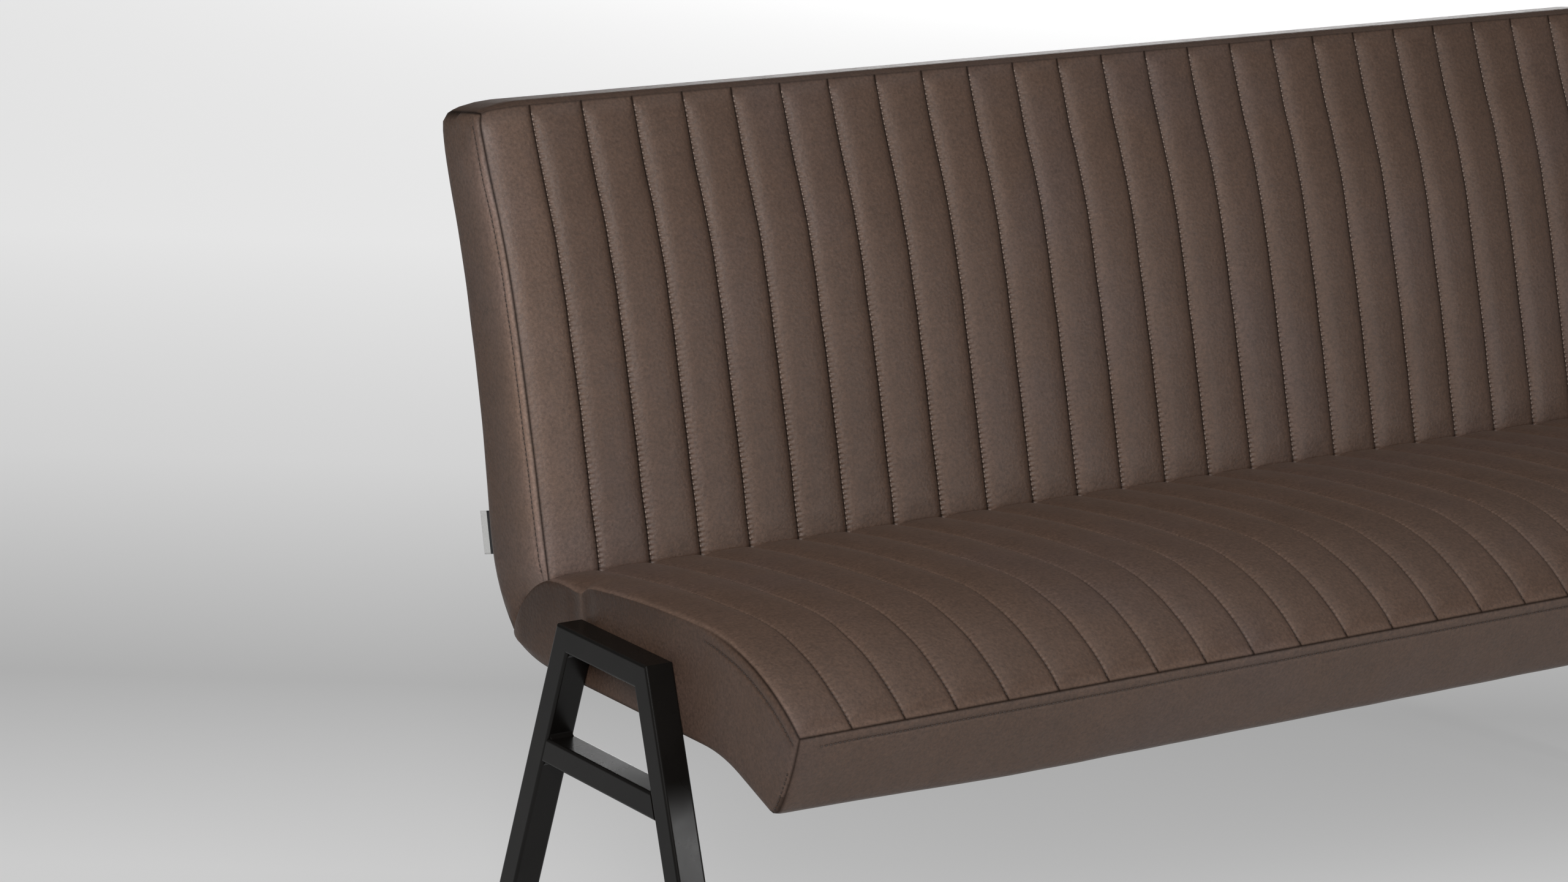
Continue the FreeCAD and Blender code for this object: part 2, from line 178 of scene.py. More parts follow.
def drawBand():
    # Front of the seat: a shallow bow from the seam to the lip, its foot rounded by a parabola.
    stop = 1.0 - benchEnd["bandRound"] / math.dist(frontSeam, lipEnd)
    t = np.linspace(0.0, stop, pathPoints["bow"])[:, None]
    chord = lipEnd - frontSeam
    out = np.array([chord[1], -chord[0]]) / np.hypot(*chord)
    bow = frontSeam + chord * t + out * 4 * t * (1 - t) * benchEnd["bandBow"]
    foot = onLine(seatLip, seatLip["long"] - benchEnd["bandRound"])
    q = np.linspace(0.0, 1.0, pathPoints["foot"])[1:, None]
    return np.vstack([bow, (1 - q) ** 2 * bow[-1] + 2 * q * (1 - q) * lipEnd + q ** 2 * foot])


bandPath = drawBand()
underPath = np.vstack([
    onLine(seatRoll, np.linspace(underBackLong + tailLong, seatRoll["long"], pathPoints["roll"])),
    onLine(seatLip, np.linspace(0.0, seatLip["long"] - benchEnd["bandRound"], pathPoints["lip"])),
])
tailPath = onLine(seatRoll, np.linspace(underBackLong, underBackLong + tailLong, pathPoints["tail"]))
cornerPath = onLine(backCorner, np.linspace(backCorner["long"], 0.0, pathPoints["corner"]))
crownPath = np.vstack([[backSeam], cornerPath])
rearPath = onLine(backRear, np.linspace(0.0, backRear["long"], pathPoints["rear"]))


def overSeat(s, out):
    # Seat surface along its length: forward from the crease, and back under the backrest below 0.
    ahead = onLine(seatTop, np.maximum(s, 0.0), out)
    behind = onLine(seatRoll, np.maximum(-s, 0.0), out)
    return np.where(np.asarray(s)[..., None] < 0.0, behind, ahead)


# Sewn channels, the same number on seat and back. Here and below a strip is (amount, width, place), a fade
# (start, length) and an unevenness (amount, length), in mm.
channels = {
    "count": 26, "pitch": 57.3,
    "steps": [0.0, 0.9, 1.9, 3.2, 5.0, 7.5, 11.0, 15.5, 21.0, 28.65],
    "thin": 3, "bunch": 1.12,
    "pad": 0.82, "belly": 0.18, "leftPower": 2.3, "rightPower": 2.6,
    "wanderAcross": 0.35, "wanderIn": 20.0,
    # widths of the painted seam shade left and right of a seam, the painted highlight just right of a seam,
    # and the fade of the painted highlight in the end channels
    "shadeLeft": 2.3, "shadeRight": 0.9, "rimHighlight": (1.0, 1.2, 1.5), "pale": (1.15, -0.35),
}
stepsPerChannel = len(channels["steps"]) * 2 - 2


def channelColumns():
    # Columns across all channels: x, the place 0 to 1 in the channel, the way to the nearest seam inside
    # the panel, and the side of it, -1 left or 1 right.
    half = np.array(channels["steps"]) / channels["pitch"]
    u = np.concatenate([half, 1 - half[-2:0:-1]])
    seams = (np.arange(channels["count"] + 1) - channels["count"] / 2) * channels["pitch"]
    seams[[0, -1]] = -seamX, seamX
    wide = np.diff(seams)
    x = np.append((seams[:-1, None] + wide[:, None] * u).ravel(), seamX)
    place = np.append(np.tile(u, channels["count"]), 1.0)
    aside = x[:, None] - seams[1:-1]
    aside = aside[np.arange(len(x)), np.abs(aside).argmin(1)]
    return x, place, np.abs(aside), np.where(aside < -1e-6, -1, 1)


columnX, columnPlace, insideSeam, seamSide = channelColumns()
coarseX = columnX[::channels["thin"]]
toEnd = seamX - np.abs(columnX)
# Painted shade beside each seam, wider on its left, and a painted highlight just right of it
seamShade = bell(insideSeam, np.where(seamSide < 0, channels["shadeLeft"], channels["shadeRight"]))
seamRimHighlight = strip(insideSeam, *channels["rimHighlight"]) * (seamSide > 0)
# Point marks: painted seam shade, length along the seam, pucker, and painted light and shade
markNames = ("paintedSeamShade", "along", "pucker", "paintedLightShade")


def panel(x, yz, paintedSeamShade=0.0, along=0.0, pucker=0.0, paintedLightShade=0.0, thin=None):
    # One sheet of a cover: its places, its painted shade near the seams, how far along it, how puckered
    # it is, and its painted light and shade.
    points = np.concatenate([np.broadcast_to(np.asarray(x)[..., None], yz.shape[:-1] + (1,)), yz], -1)
    marks = [np.broadcast_to(np.asarray(mark, float), yz.shape[:-1]) for mark in (paintedSeamShade, along, pucker, paintedLightShade)]
    return {"points": points, **dict(zip(markNames, marks)), "thin": thin}


def carried(path, x):
    # The same side outline at every column.
    return np.repeat(path[:, None], len(x), 1)


def rowsAlong(long, under, rows):
    # Lengths of a quilt's rows, from under the crease to the far seam, a little closer there: one less a
    # power of the share that is left.
    t = np.linspace(0.0, 1.0, rows)
    return -under + (long + under) * (1 - (1 - t) ** channels["bunch"])


def shares(fixed, rest, height, narrow=2.2):
    # Share of the way across a border: fixed distances from its seam first, squeezed where it is
    # narrow, then even steps to its far edge.
    fixed = np.array(fixed)
    near = fixed[:, None] * np.minimum(1.0, height / (narrow * fixed[-1])) / height
    far = near[-1] + (1 - near[-1]) * np.linspace(0.0, 1.0, rest + 1)[1:, None]
    return np.vstack([near, far])


def borderGrid(settings, along, height, paths, edge):
    # Grid between four drawn edges, its first row on the seam: the share of the way across, the places,
    # and the way from the seam.
    across = shares(settings["borderSteps"], settings["borderRest"], height)
    yz = coons(*paths, across, np.broadcast_to(along, across.shape))
    yz[0] = edge
    return across, yz, across * height


def crowned(surface, s, quilt):
    # Height over the sewn line: a broad belly plus a pad that rolls up gently on the left of its channel
    # and drops steeply on the right, easing to nothing at both ends of the panel, less a groove in each
    # seam. Painted shade: bells at the seams. Painted light and shade: the slope of the height, lighter
    # where the cloth faces left and darker where it faces right, plus painted highlights beside the seams.
    fromLast = (s[-1] - s)[:, None]
    ends = ease((s - s[0]) / quilt["fadeLow"])[:, None] * ease(fromLast / quilt["fadeHigh"])
    drawn = 1 + unevenness(columnX, s[:, None], *quilt["uneven"])
    leftRoll = 1 - (1 - np.clip(columnPlace / quilt["leftRoll"], 0, 1)) ** channels["leftPower"]
    rightRoll = 1 - (1 - np.clip((1 - columnPlace) / quilt["rightRoll"], 0, 1)) ** channels["rightPower"]
    form = channels["pad"] * (leftRoll * rightRoll) + channels["belly"] * (1 - (2 * columnPlace - 1) ** 2)
    lift = quilt["crown"] * form * drawn * ends - strip(insideSeam, *quilt["groove"]) * ends
    wander = unevenness(columnX * channels["wanderAcross"], s[:, None], *quilt["wander"])
    x = columnX + wander * ends * np.minimum(toEnd / channels["wanderIn"], 1.0)
    yz = surface(np.broadcast_to(s[:, None], lift.shape), lift)
    # Painted shade at the seams, at the ends from where it begins along the panel, and at the last row
    near = np.maximum(seamShade, strip(toEnd, *quilt["endShade"]) * fade(s, *quilt["dark"])[:, None])
    near = np.maximum(near, strip(fromLast, *quilt["lastShade"]))
    # Painted light and shade from the slope, then painted highlights beside the seams, at the ends, at the
    # last row and in the end channels
    paintedLightShade = np.clip(np.gradient(lift, columnX, axis=1) / quilt["lightSlope"], -1.0, 1.0)
    paintedLightShade = paintedLightShade + (quilt["rimHighlight"] * seamRimHighlight + strip(toEnd, *quilt["endRimHighlight"])) * ends
    paintedLightShade = paintedLightShade + strip(fromLast, *quilt["lastRimHighlight"])
    paintedLightShade = paintedLightShade + quilt["endPaleHighlight"] * fade(toEnd / channels["pitch"], *channels["pale"]) * ends
    return panel(x, yz, near, s[:, None], strip(insideSeam, *quilt["pucker"]) * ends, paintedLightShade)


# Seat cushion
seat = {
    "rows": 124, "rollRows": 24, "under": 14.0,
    "quilt": {
        "crown": 3.4, "leftRoll": 0.30, "rightRoll": 0.14, "fadeLow": 9.0, "fadeHigh": 15.0,
        "groove": (0.9, 1.1), "pucker": (0.3, 3.2), "uneven": (0.07, 190.0),
        # from dark on: where the painted end-seam shade begins and how strong the painted seam shade is, the
        # slope for full painted light and shade, and the painted highlights
        "wander": (0.45, 70.0), "dark": (230.0, 120.0), "endShade": (1.0, 1.0),
        "lastShade": (1.0, 1.2), "lightSlope": 0.9, "rimHighlight": 0.9, "endRimHighlight": (1.7, 2.6, 1.7),
        "lastRimHighlight": (0.9, 3.2, 2.5), "endPaleHighlight": 0.0,
    },
    "borderSteps": [0.0, 0.7, 1.6, 2.8, 4.4, 6.4, 8.4, 9.6, 10.6, 11.6, 13.0, 16.0],
    "borderRest": 14, "sideThin": 19, "bandThin": 18,
    # borders: how far out they are, beside the leg frame too, and how they leave their seams
    "sideOut": 2.6, "frameOut": 0.8, "frameMiddle": -33.3, "frame": (112.0, 50.0), "frameSlack": 0.1,
    "deepest": -1.5, "seamSteep": 2.4, "cornerSteep": 3.0, "tailSteep": 9.0, "lowFade": 0.16,
    "uneven": (0.25, 60.0), "bandOut": 1.6, "bandLow": 0.2, "bandUneven": (0.35, 90.0),
    # topstitching
    "stitchDown": 10.6, "groove": (1.0, 1.5), "row": (245.0, 70.0), "rowStop": 12.0,
    "bandStitch": 9.6, "bandGroove": (0.9, 1.5), "bandRow": (14.0, 40.0),
    # painted shade and painted highlights on the cloth
    "seamShade": (1.0, 1.1), "cornerShade": (0.8, 1.0), "stitchShade": (0.55, 1.1),
    "sideShade": 1.8, "shadeDown": 20.0, "shaded": (320.0, -200.0), "rollShade": 45.0, "roll": (110.0, -80.0),
    "tailFade": 40.0, "cornerHighlight": (0.7, 2.5, 3.0), "highlightDown": 3.0,
    # fold and tuck beside the crease, with a painted highlight on the fold, sag of the front
    "foldWide": 3.5, "foldHighlight": 0.4, "upper": (0.8, -0.3), "hollow": 1.4, "hollows": (13.0, -13.0),
    "hollowWide": 9.0, "tuckAhead": 58.0, "tuckDeep": 7.0, "tuckBehind": 26.0, "tuckBefore": 9.0,
    "tuckReach": 13.0, "sagEnd": 3.5, "sag": 7.0, "sagLong": 300.0, "sagBack": 105.0,
}


def tuckSeat(points):
    # Pulls the cover down at both ends a little in front of the crease: a bell along the edge, broader
    # behind than before, times a bell inward from the end.
    place = onLine(seatTop, seat["tuckAhead"])
    away = np.hypot(points[..., 1] - place[0], points[..., 2] - place[1])
    away = away / np.where(points[..., 1] > place[0], seat["tuckBehind"], seat["tuckBefore"])
    ends = bell(np.maximum(seamX - np.abs(points[..., 0]), 0.0), seat["tuckReach"])
    moved = points.copy()
    moved[..., 2] -= seat["tuckDeep"] * bell(away, 1.0) * ends
    return moved


def sagSeat(points):
    # Lets the front's foot hang between the ends: an ease in from the end, times how far the point is
    # below the front seam, fading out backward along the lip.
    ends = ease((seamX - np.abs(points[..., 0])) / seat["sagLong"])
    low = np.clip((frontSeam[1] - points[..., 2]) / (frontSeam[1] - lipEnd[1]), 0.0, 1.0)
    ahead = ease((lipEnd[0] + seat["sagBack"] - points[..., 1]) / seat["sagBack"])
    moved = points.copy()
    moved[..., 2] -= (seat["sagEnd"] + seat["sag"] * ends) * low * ahead
    return moved


def seatSides(s, across, down, yz):
    # Side borders: the outward way leaves every seam steeply, less a groove under the topstitching and
    # two hollows beside the fold, kept clear of the leg frame. Painted light and shade: a painted shade
    # below the seam, reaching further down at the roll, and painted highlights at the fold and the front
    # corner.
    toFront, toTail = (seatTop["long"] - s)[None, :], (s + underBackLong)[None, :]
    tucked, stitched = (s - seat["tuckAhead"])[None, :], down - seat["stitchDown"]
    edges = rise(down, seat["seamSteep"]) * rise(toFront, seat["cornerSteep"])
    edges = edges * rise(toTail, seat["tailSteep"]) * ease((1 - across) / seat["lowFade"])
    row = fade(s, *seat["row"])[None, :] * ease(toFront / seat["rowStop"])
    upper = fade(across, *seat["upper"])
    fold = bell(tucked, seat["foldWide"]) * upper
    hollows = sum(bell(tucked + aside, seat["hollowWide"]) for aside in seat["hollows"])
    clear = fade(np.abs(yz[..., 0] - seat["frameMiddle"]), *seat["frame"])
    out = (seat["frameOut"] + (seat["sideOut"] - seat["frameOut"]) * clear) * edges
    out = out - strip(stitched, *seat["groove"]) * row - seat["hollow"] * hollows * edges * upper
    out = out + unevenness(down, s[None, :], *seat["uneven"]) * edges
    out = np.clip(out, seat["deepest"], seat["frameOut"] + seat["frameSlack"] + seat["sideOut"] * clear)
    # Painted shade along the seams, at the front corner and along the topstitching
    near = strip(down, *seat["seamShade"]) * fade(s, *seat["quilt"]["dark"])[None, :]
    near = np.maximum(near, strip(toFront + 0 * down, *seat["cornerShade"]))
    near = np.maximum(near, strip(stitched, *seat["stitchShade"]) * row)
    # Painted shade below the top seam, reaching further down at the roll, and painted highlights at the fold
    # and the front corner
    shadeDown = seat["shadeDown"] + seat["rollShade"] * fade(s, *seat["roll"])[None, :]
    paintedLightShade = -seat["sideShade"] * bell(down, shadeDown) * fade(s, *seat["shaded"])[None, :]
    paintedLightShade = paintedLightShade * ease(toTail / seat["tailFade"]) * (1 - fold) + seat["foldHighlight"] * fold
    paintedLightShade = paintedLightShade + strip(toFront, *seat["cornerHighlight"]) * ease(down / seat["highlightDown"])
    return [panel(end * (seamX + out), yz, near, s[None, :], 0.0, paintedLightShade, seat["sideThin"]) for end in (-1, 1)]


def seatBand(share, down):
    # Front band: as the side border, with one row of topstitching under its seam.
    yz, stitched = onPath(bandPath, share), down - seat["bandStitch"]
    edges = rise(down, seat["seamSteep"]) * rise(toEnd, seat["cornerSteep"])
    edges = edges * ease((1 - share[:, None]) / seat["bandLow"])
    row = fade(toEnd, *seat["bandRow"])
    out = seat["bandOut"] * edges - strip(stitched, *seat["bandGroove"]) * row
    out = out + unevenness(columnX, down, *seat["bandUneven"]) * edges
    # Painted shade along the seams and the topstitching
    near = np.maximum(strip(down, *seat["seamShade"]), strip(toEnd, *seat["cornerShade"]))
    near = np.maximum(near, strip(stitched, *seat["stitchShade"]) * row)
    yz = yz[:, None] + squareTo(yz)[:, None] * out[..., None]
    return panel(columnX, yz, near, columnX, thin=seat["bandThin"])


def makeSeat():
    # Quilt on top, then the roll under the backrest, tail, underside, front band and two side borders,
    # which share their edges.
    s = rowsAlong(seatTop["long"], seat["under"], seat["rows"])
    behind = np.linspace(-underBackLong, -seat["under"], seat["rollRows"] + 1)[:-1]
    sideS = np.concatenate([behind, s])
    along = (sideS + underBackLong) / (seatTop["long"] + underBackLong)
    topPath = overSeat(np.linspace(-underBackLong, seatTop["long"], pathPoints["edge"]), 0.0)
    topEdge, lowEdge = overSeat(sideS, 0.0), onPath(underPath, along)
    height = np.hypot(*(topEdge - lowEdge).T)
    height[-1] = pathLong(bandPath)
    paths = (topPath, underPath, tailPath, bandPath)
    across, yz, down = borderGrid(seat, along, height, paths, topEdge)
    left, right = seatSides(sideS, across, down, yz)
    band = seatBand(across[:, -1], down[:, -1:])
    quilt = crowned(overSeat, s, seat["quilt"])
    roll = panel(columnX, carried(overSeat(sideS[seat["rollRows"]::-1], 0.0), columnX), thin=0)
    curl = panel(coarseX, carried(onPath(tailPath, across[:, 0]), coarseX))
    under = panel(coarseX, carried(onPath(underPath, along[::channels["thin"]]), coarseX))
    parts = {"quilt": quilt, "band": band, "left": left, "right": right,
             "roll": roll, "curl": curl, "under": under}
    for part in parts.values():
        part["points"] = sagSeat(tuckSeat(part["points"]))
    return parts


# Back cushion
back = {
    "rows": 124, "below": 8.0, "sink": 4.0,
    "quilt": {
        "crown": 5.0, "leftRoll": 0.30, "rightRoll": 0.17, "fadeLow": 5.0, "fadeHigh": 18.0,
        "groove": (1.1, 1.1), "pucker": (1.0, 3.2), "uneven": (0.07, 170.0),
        # from dark on: where the painted end-seam shade begins and how strong the painted seam shade is, the
        # slope for full painted light and shade, and the painted highlights
        "wander": (0.4, 80.0), "dark": (-200.0, 120.0), "endShade": (1.0, 1.0),
        "lastShade": (0.55, 1.2), "lightSlope": 0.42, "rimHighlight": 0.0, "endRimHighlight": (0.0, 1.0),
        "lastRimHighlight": (0.0, 1.0), "endPaleHighlight": 1.1,
    },
    "borderSteps": [0.0, 0.7, 1.6, 2.8, 4.4, 6.2, 7.6, 8.6, 9.6, 10.8, 13.0, 17.0],
    "borderRest": 10, "sideThin": 14, "topThin": 8,
    # side borders: rounding, rib and topstitching
    "sideOut": 6.5, "turnShare": 0.45, "sideTurn": 34.0, "roundShare": 0.55, "sideRound": 5.0,
    "topSteep": 3.5, "lowRise": 25.0, "rearFade": 0.16, "uneven": (0.4, 80.0),
    "rib": (1.1, 2.6), "stitchIn": 8.6, "groove": (1.5, 1.5), "row": (6.0, 14.0), "rowLow": 30.0,
    # painted shade and painted highlights on the cloth
    "seamShade": (1.0, 1.3), "stitchShade": (0.4, 1.1), "cornerShade": (1.0, 1.6),
    "seamHighlight": (3.2, 13.0), "broadHighlight": (3.5, 36.0), "highlightLeast": 0.3, "highlightTop": 80.0,
    # top band and rear cover, with painted shade along their seams and over the band
    "topOut": 1.6, "bandSteep": 4.0, "bandFar": 0.3, "bandShade": (0.4, 1.4), "bandEndShade": (1.0, 1.4),
    "topShade": 1.2, "rearOut": 5.0, "rearEnd": 22.0, "rearLow": 0.10, "rearHigh": 0.12, "rearShade": 2.0,
    # soft form of the whole back
    "swell": 7.0, "swellLong": 50.0, "swellDown": 60.0, "seamSwell": 0.5, "seamFade": 12.0,
    "lower": (4.0, 55.0, 470.0), "lowFade": 60.0,
    "cornerIn": 2.0, "cornerPower": 4, "cornerDraw": (2.6, 8.0), "cornerDrop": 0.25,
}


def softenBack(points):
    # Swells the top between its corners: an ease up to the top times one minus the square of the nearness
    # to the end, less at the front seam than behind it. The corners are drawn in a little, and where three
    # seams meet the cover is pulled inward by a bell of the distance. The lower rear is fuller by a bell of
    # the height.
    x, y, z = np.moveaxis(points, -1, 0)
    ends = np.clip(1 - (seamX - np.abs(x)) / back["swellLong"], 0.0, 1.0) ** 2
    high = ease((z - rearStop[1] + back["swellDown"]) / back["swellDown"])
    behind = ease((y - backSeam[0]) / back["seamFade"])
    high = high * (back["seamSwell"] + (1 - back["seamSwell"]) * behind)
    away = np.stack([np.abs(x) - seamX, y - backSeam[0], z - backSeam[1]])
    pull = strip(np.sqrt((away ** 2).sum(0)), *back["cornerDraw"])
    moved = points.copy()
    moved[..., 2] += back["swell"] * (1 - ends) * high
    moved[..., 0] -= np.sign(x) * back["cornerIn"] * ends * high ** back["cornerPower"]
    moved[..., 1] += strip(z, *back["lower"]) * ease((y - crease[0]) / back["lowFade"])
    moved[..., 0] -= np.sign(x) * pull
    moved[..., 2] -= back["cornerDrop"] * pull
    return moved


def backSides(s, across, inward, yz):
    # Side borders: a quarter sine over a broad strip plus a steep rise from the front seam, with a rib
    # beside it, less a groove along the topstitching. Painted highlight: a narrow and a broad bell from the
    # seam, weaker towards the top.
    toTop, toLow = (s[-1] - s)[None, :], (s - s[0])[None, :]
    stitched = inward - back["stitchIn"]
    turned = back["turnShare"] * np.sin(np.clip(inward / back["sideTurn"], 0, 1) * math.pi / 2)
    turned = turned + back["roundShare"] * rise(inward, back["sideRound"])
    edges = rise(toTop, back["topSteep"]) * ease(toLow / back["lowRise"])
    edges = edges * ease((1 - across) / back["rearFade"])
    row = fade(toTop, *back["row"])
    out = back["sideOut"] * turned * edges + strip(inward - back["stitchIn"] / 2, *back["rib"]) * edges
    out = out - strip(stitched, *back["groove"]) * row * ease(toLow / back["rowLow"])
    out = out + unevenness(inward, s[None, :], *back["uneven"]) * edges
    out[0] = 0.0  # on the seam
    # Painted shade along the seam, the topstitching and the top corner
    near = np.maximum(strip(inward, *back["seamShade"]), strip(stitched, *back["stitchShade"]) * row)
    near = np.maximum(near, strip(toTop + 0 * inward, *back["cornerShade"]))
    # Painted highlight beside the front seam, weaker towards the top
    paintedLightShade = strip(inward, *back["seamHighlight"]) + strip(inward, *back["broadHighlight"])
    paintedLightShade = paintedLightShade * (back["highlightLeast"] + (1 - back["highlightLeast"]) * ease(toTop / back["highlightTop"]))
    x = seamX + np.maximum(out, 0.0)
    return [panel(end * x, yz, near, s[None, :], 0.0, paintedLightShade, back["sideThin"]) for end in (-1, 1)]


def backTop(share, inward):
    # Top band: rises steeply from its seams, square to the drawn path, and eases to the rear cover.
    yz, lifted = onPath(crownPath, share), rise(inward, back["bandSteep"])
    out = back["topOut"] * lifted * rise(toEnd, back["bandSteep"])
    out = out * ease((1 - share[:, None]) / back["bandFar"])
    # Painted shade along the seams, and a painted shade over the raised band
    near = np.maximum(strip(inward, *back["bandShade"]), strip(toEnd, *back["bandEndShade"]))
    yz = yz[:, None] - squareTo(yz)[:, None] * out[..., None]
    return panel(columnX, yz, near, columnX, 0.0, -back["topShade"] * lifted, back["topThin"])


def backRearCover(up):
    # Rear cover: a slow swell, nothing at its edges.
    up = up[::channels["thin"]][:, None]
    end = seamX - np.abs(coarseX)
    swell = back["rearOut"] * ease(end / back["rearEnd"])
    swell = swell * ease(up / back["rearLow"]) * ease((1 - up) / back["rearHigh"])
    s = np.repeat(up * backRear["long"], len(coarseX), 1)
    yz = onPath(rearPath, up + 0 * coarseX) + onLine(backRear, s, swell) - onLine(backRear, s)
    # Painted shade at the cover's edges
    return panel(coarseX, yz, bell(end + 0 * up, back["rearShade"]))


def makeBack():
    # Quilt in front, then the top band, rear cover, underside and two side borders, edge to edge.
    s = rowsAlong(backFace["long"], back["below"], back["rows"])
    up = (s - s[0]) / (s[-1] - s[0])
    facePath = onLine(backFace, np.linspace(s[0], s[-1], pathPoints["edge"]))
    lowPath = onLine(seatRoll, np.linspace(0.0, underBackLong, pathPoints["low"]), -back["sink"])
    lowPath = stretchTo(lowPath, facePath[0], rearPath[0])
    frontEdge, rearEdge = onLine(backFace, s), onPath(rearPath, up)
    depth = np.hypot(*(frontEdge - rearEdge).T)
    depth[0], depth[-1] = pathLong(lowPath), pathLong(crownPath)
    paths = (facePath, rearPath, lowPath, crownPath)
    across, yz, inward = borderGrid(back, up, depth, paths, frontEdge)
    left, right = backSides(s, across, inward, yz)
    top = backTop(across[:, -1], inward[:, -1:])
    bottom = panel(columnX, carried(onPath(lowPath, across[:, 0]), columnX), thin=0)
    quilt = crowned(lambda rows, out: onLine(backFace, rows, out), s, back["quilt"])
    parts = {"quilt": quilt, "top": top, "left": left, "right": right,
             "rear": backRearCover(up), "bottom": bottom}
    for part in parts.values():
        part["points"] = softenBack(part["points"])
    return parts


def gridNumbers(points, first=0):
    # Vertex numbers row by row, in the grid's own shape.
    return first + np.arange(points[..., 0].size).reshape(points.shape[:2])


def sheetFaces(ids, thin=None):
    # Four-sided faces over a grid of vertex numbers. Past the row named by thin only every third
    # column goes on, and a row of triangles joins the two.
    def quads(grid):
        return np.stack([grid[:-1, :-1], grid[:-1, 1:], grid[1:, 1:], grid[1:, :-1]], -1).reshape(-1, 4)

    if thin is None:
        return [quads(ids)]
    step = channels["thin"]
    fine, low = ids[thin], ids[thin + 1, ::step]
    at = np.arange(len(low) - 1) * step
    fans = [np.stack([low[:-1], fine[at + k], fine[at + k + 1]], -1) for k in range(step)]
    fans.append(np.stack([low[:-1], fine[at + step], low[1:]], -1))
    return [np.vstack([quads(ids[:thin + 1]), quads(ids[thin + 1:, ::step])]), np.vstack(fans)]


def fillMesh(name, points, faceSets, marks):
    # Puts places in mm, faces and point attributes into a new mesh object at the origin.
    mesh = bpy.data.meshes.new(name)
    mesh.vertices.add(len(points))
    mesh.vertices.foreach_set("co", (points * mm).astype(np.float32).ravel())
    sizes = np.concatenate([np.full(len(faces), faces.shape[1]) for faces in faceSets])
    corners = np.concatenate([faces.ravel() for faces in faceSets])
    mesh.loops.add(len(corners))
    mesh.loops.foreach_set("vertex_index", corners.astype(np.int32))
    mesh.polygons.add(len(sizes))
    mesh.polygons.foreach_set("loop_start", np.concatenate([[0], sizes.cumsum()[:-1]]).astype(np.int32))
    mesh.polygons.foreach_set("use_smooth", np.ones(len(sizes), bool))
    for mark, values in marks.items():
        layer = mesh.attributes.new(mark, "FLOAT", "POINT")
        layer.data.foreach_set("value", values.astype(np.float32))
    mesh.update(calc_edges=True)
    mesh.validate()
    piece = bpy.data.objects.new(name, mesh)
    bpy.context.scene.collection.objects.link(piece)
    return piece


def facedOut(points, faceSets, centre):
    # Turns the faces over if the sum of their normals against the way from the middle is negative.
    first = faceSets[0]
    corner = points[first[:, 0]]
    normal = np.cross(points[first[:, 1]] - corner, points[first[:, 2]] - corner)
    if (normal * (corner - centre)).sum() < 0:
        return [faces[:, ::-1] for faces in faceSets]
    return faceSets


def sheetPiece(name, part, centre, marks):
    # One sheet as an object of its own, facing away from a middle point.
    points = part["points"].reshape(-1, 3)
    return fillMesh(name, points, facedOut(points, sheetFaces(gridNumbers(part["points"])), centre), marks)


# Cushions
cushions = {"weld": 0.02, "seatMiddle": (0.0, -120.0, 420.0), "backMiddle": (0.0, 230.0, 660.0)}


def closeCushion(name, parts):
    # Joins the sheets of one cushion into a closed form: places that round to the same become one vertex.
    points = np.vstack([part["points"].reshape(-1, 3) for part in parts.values()])
    centre = np.median(points, axis=0)
    first, faceSets = 0, []
    for part in parts.values():
        ids = gridNumbers(part["points"], first)
        faceSets += facedOut(points, sheetFaces(ids, part["thin"]), centre)
        first += ids.size
    keys = np.round(points / cushions["weld"]).astype(np.int64)
    _, lead, merged = np.unique(keys, axis=0, return_index=True, return_inverse=True)
    faceSets = [merged.ravel()[faces] for faces in faceSets]
    used = np.zeros(len(lead), bool)
    used[np.concatenate([faces.ravel() for faces in faceSets])] = True
    number = np.cumsum(used) - 1
    marks = {}
    for mark in markNames:
        values = np.concatenate([part[mark].ravel() for part in parts.values()])
        marks[mark] = values[lead][used]
    marks["along"] = marks["along"] * mm
    fours, threes = [[number[faces] for faces in faceSets if faces.shape[1] == sides] for sides in (4, 3)]
    return fillMesh(name, points[lead][used], [np.vstack(fours), np.vstack(threes)], marks)


# Air pressure in the sewn channels
swelling = {
    "frames": 20,
    "pressure": 4.0,
    "everyRow": 3,
    "columns": [0, 3, 5, 7, 9, 11, 13, 15],
    "stiffness": 14.0,
    "bending": 0.6,
    "mass": 0.25,
    "cap": 1.5,
}


def hermite(knots, at):
    # Weights that carry values at the knots to other places, by cubics with centred slopes.
    unit, slope = np.eye(len(knots)), np.gradient(np.eye(len(knots)), knots, axis=0)
    k = np.clip(np.searchsorted(knots, at, side="right") - 1, 0, len(knots) - 2)
    wide = (knots[k + 1] - knots[k])[:, None]
    t = (at - knots[k])[:, None] / wide
    value = (1 + 2 * t) * (1 - t) ** 2 * unit[k] + t ** 2 * (3 - 2 * t) * unit[k + 1]
    return value + wide * (t * (1 - t) ** 2 * slope[k] - t ** 2 * (1 - t) * slope[k + 1])


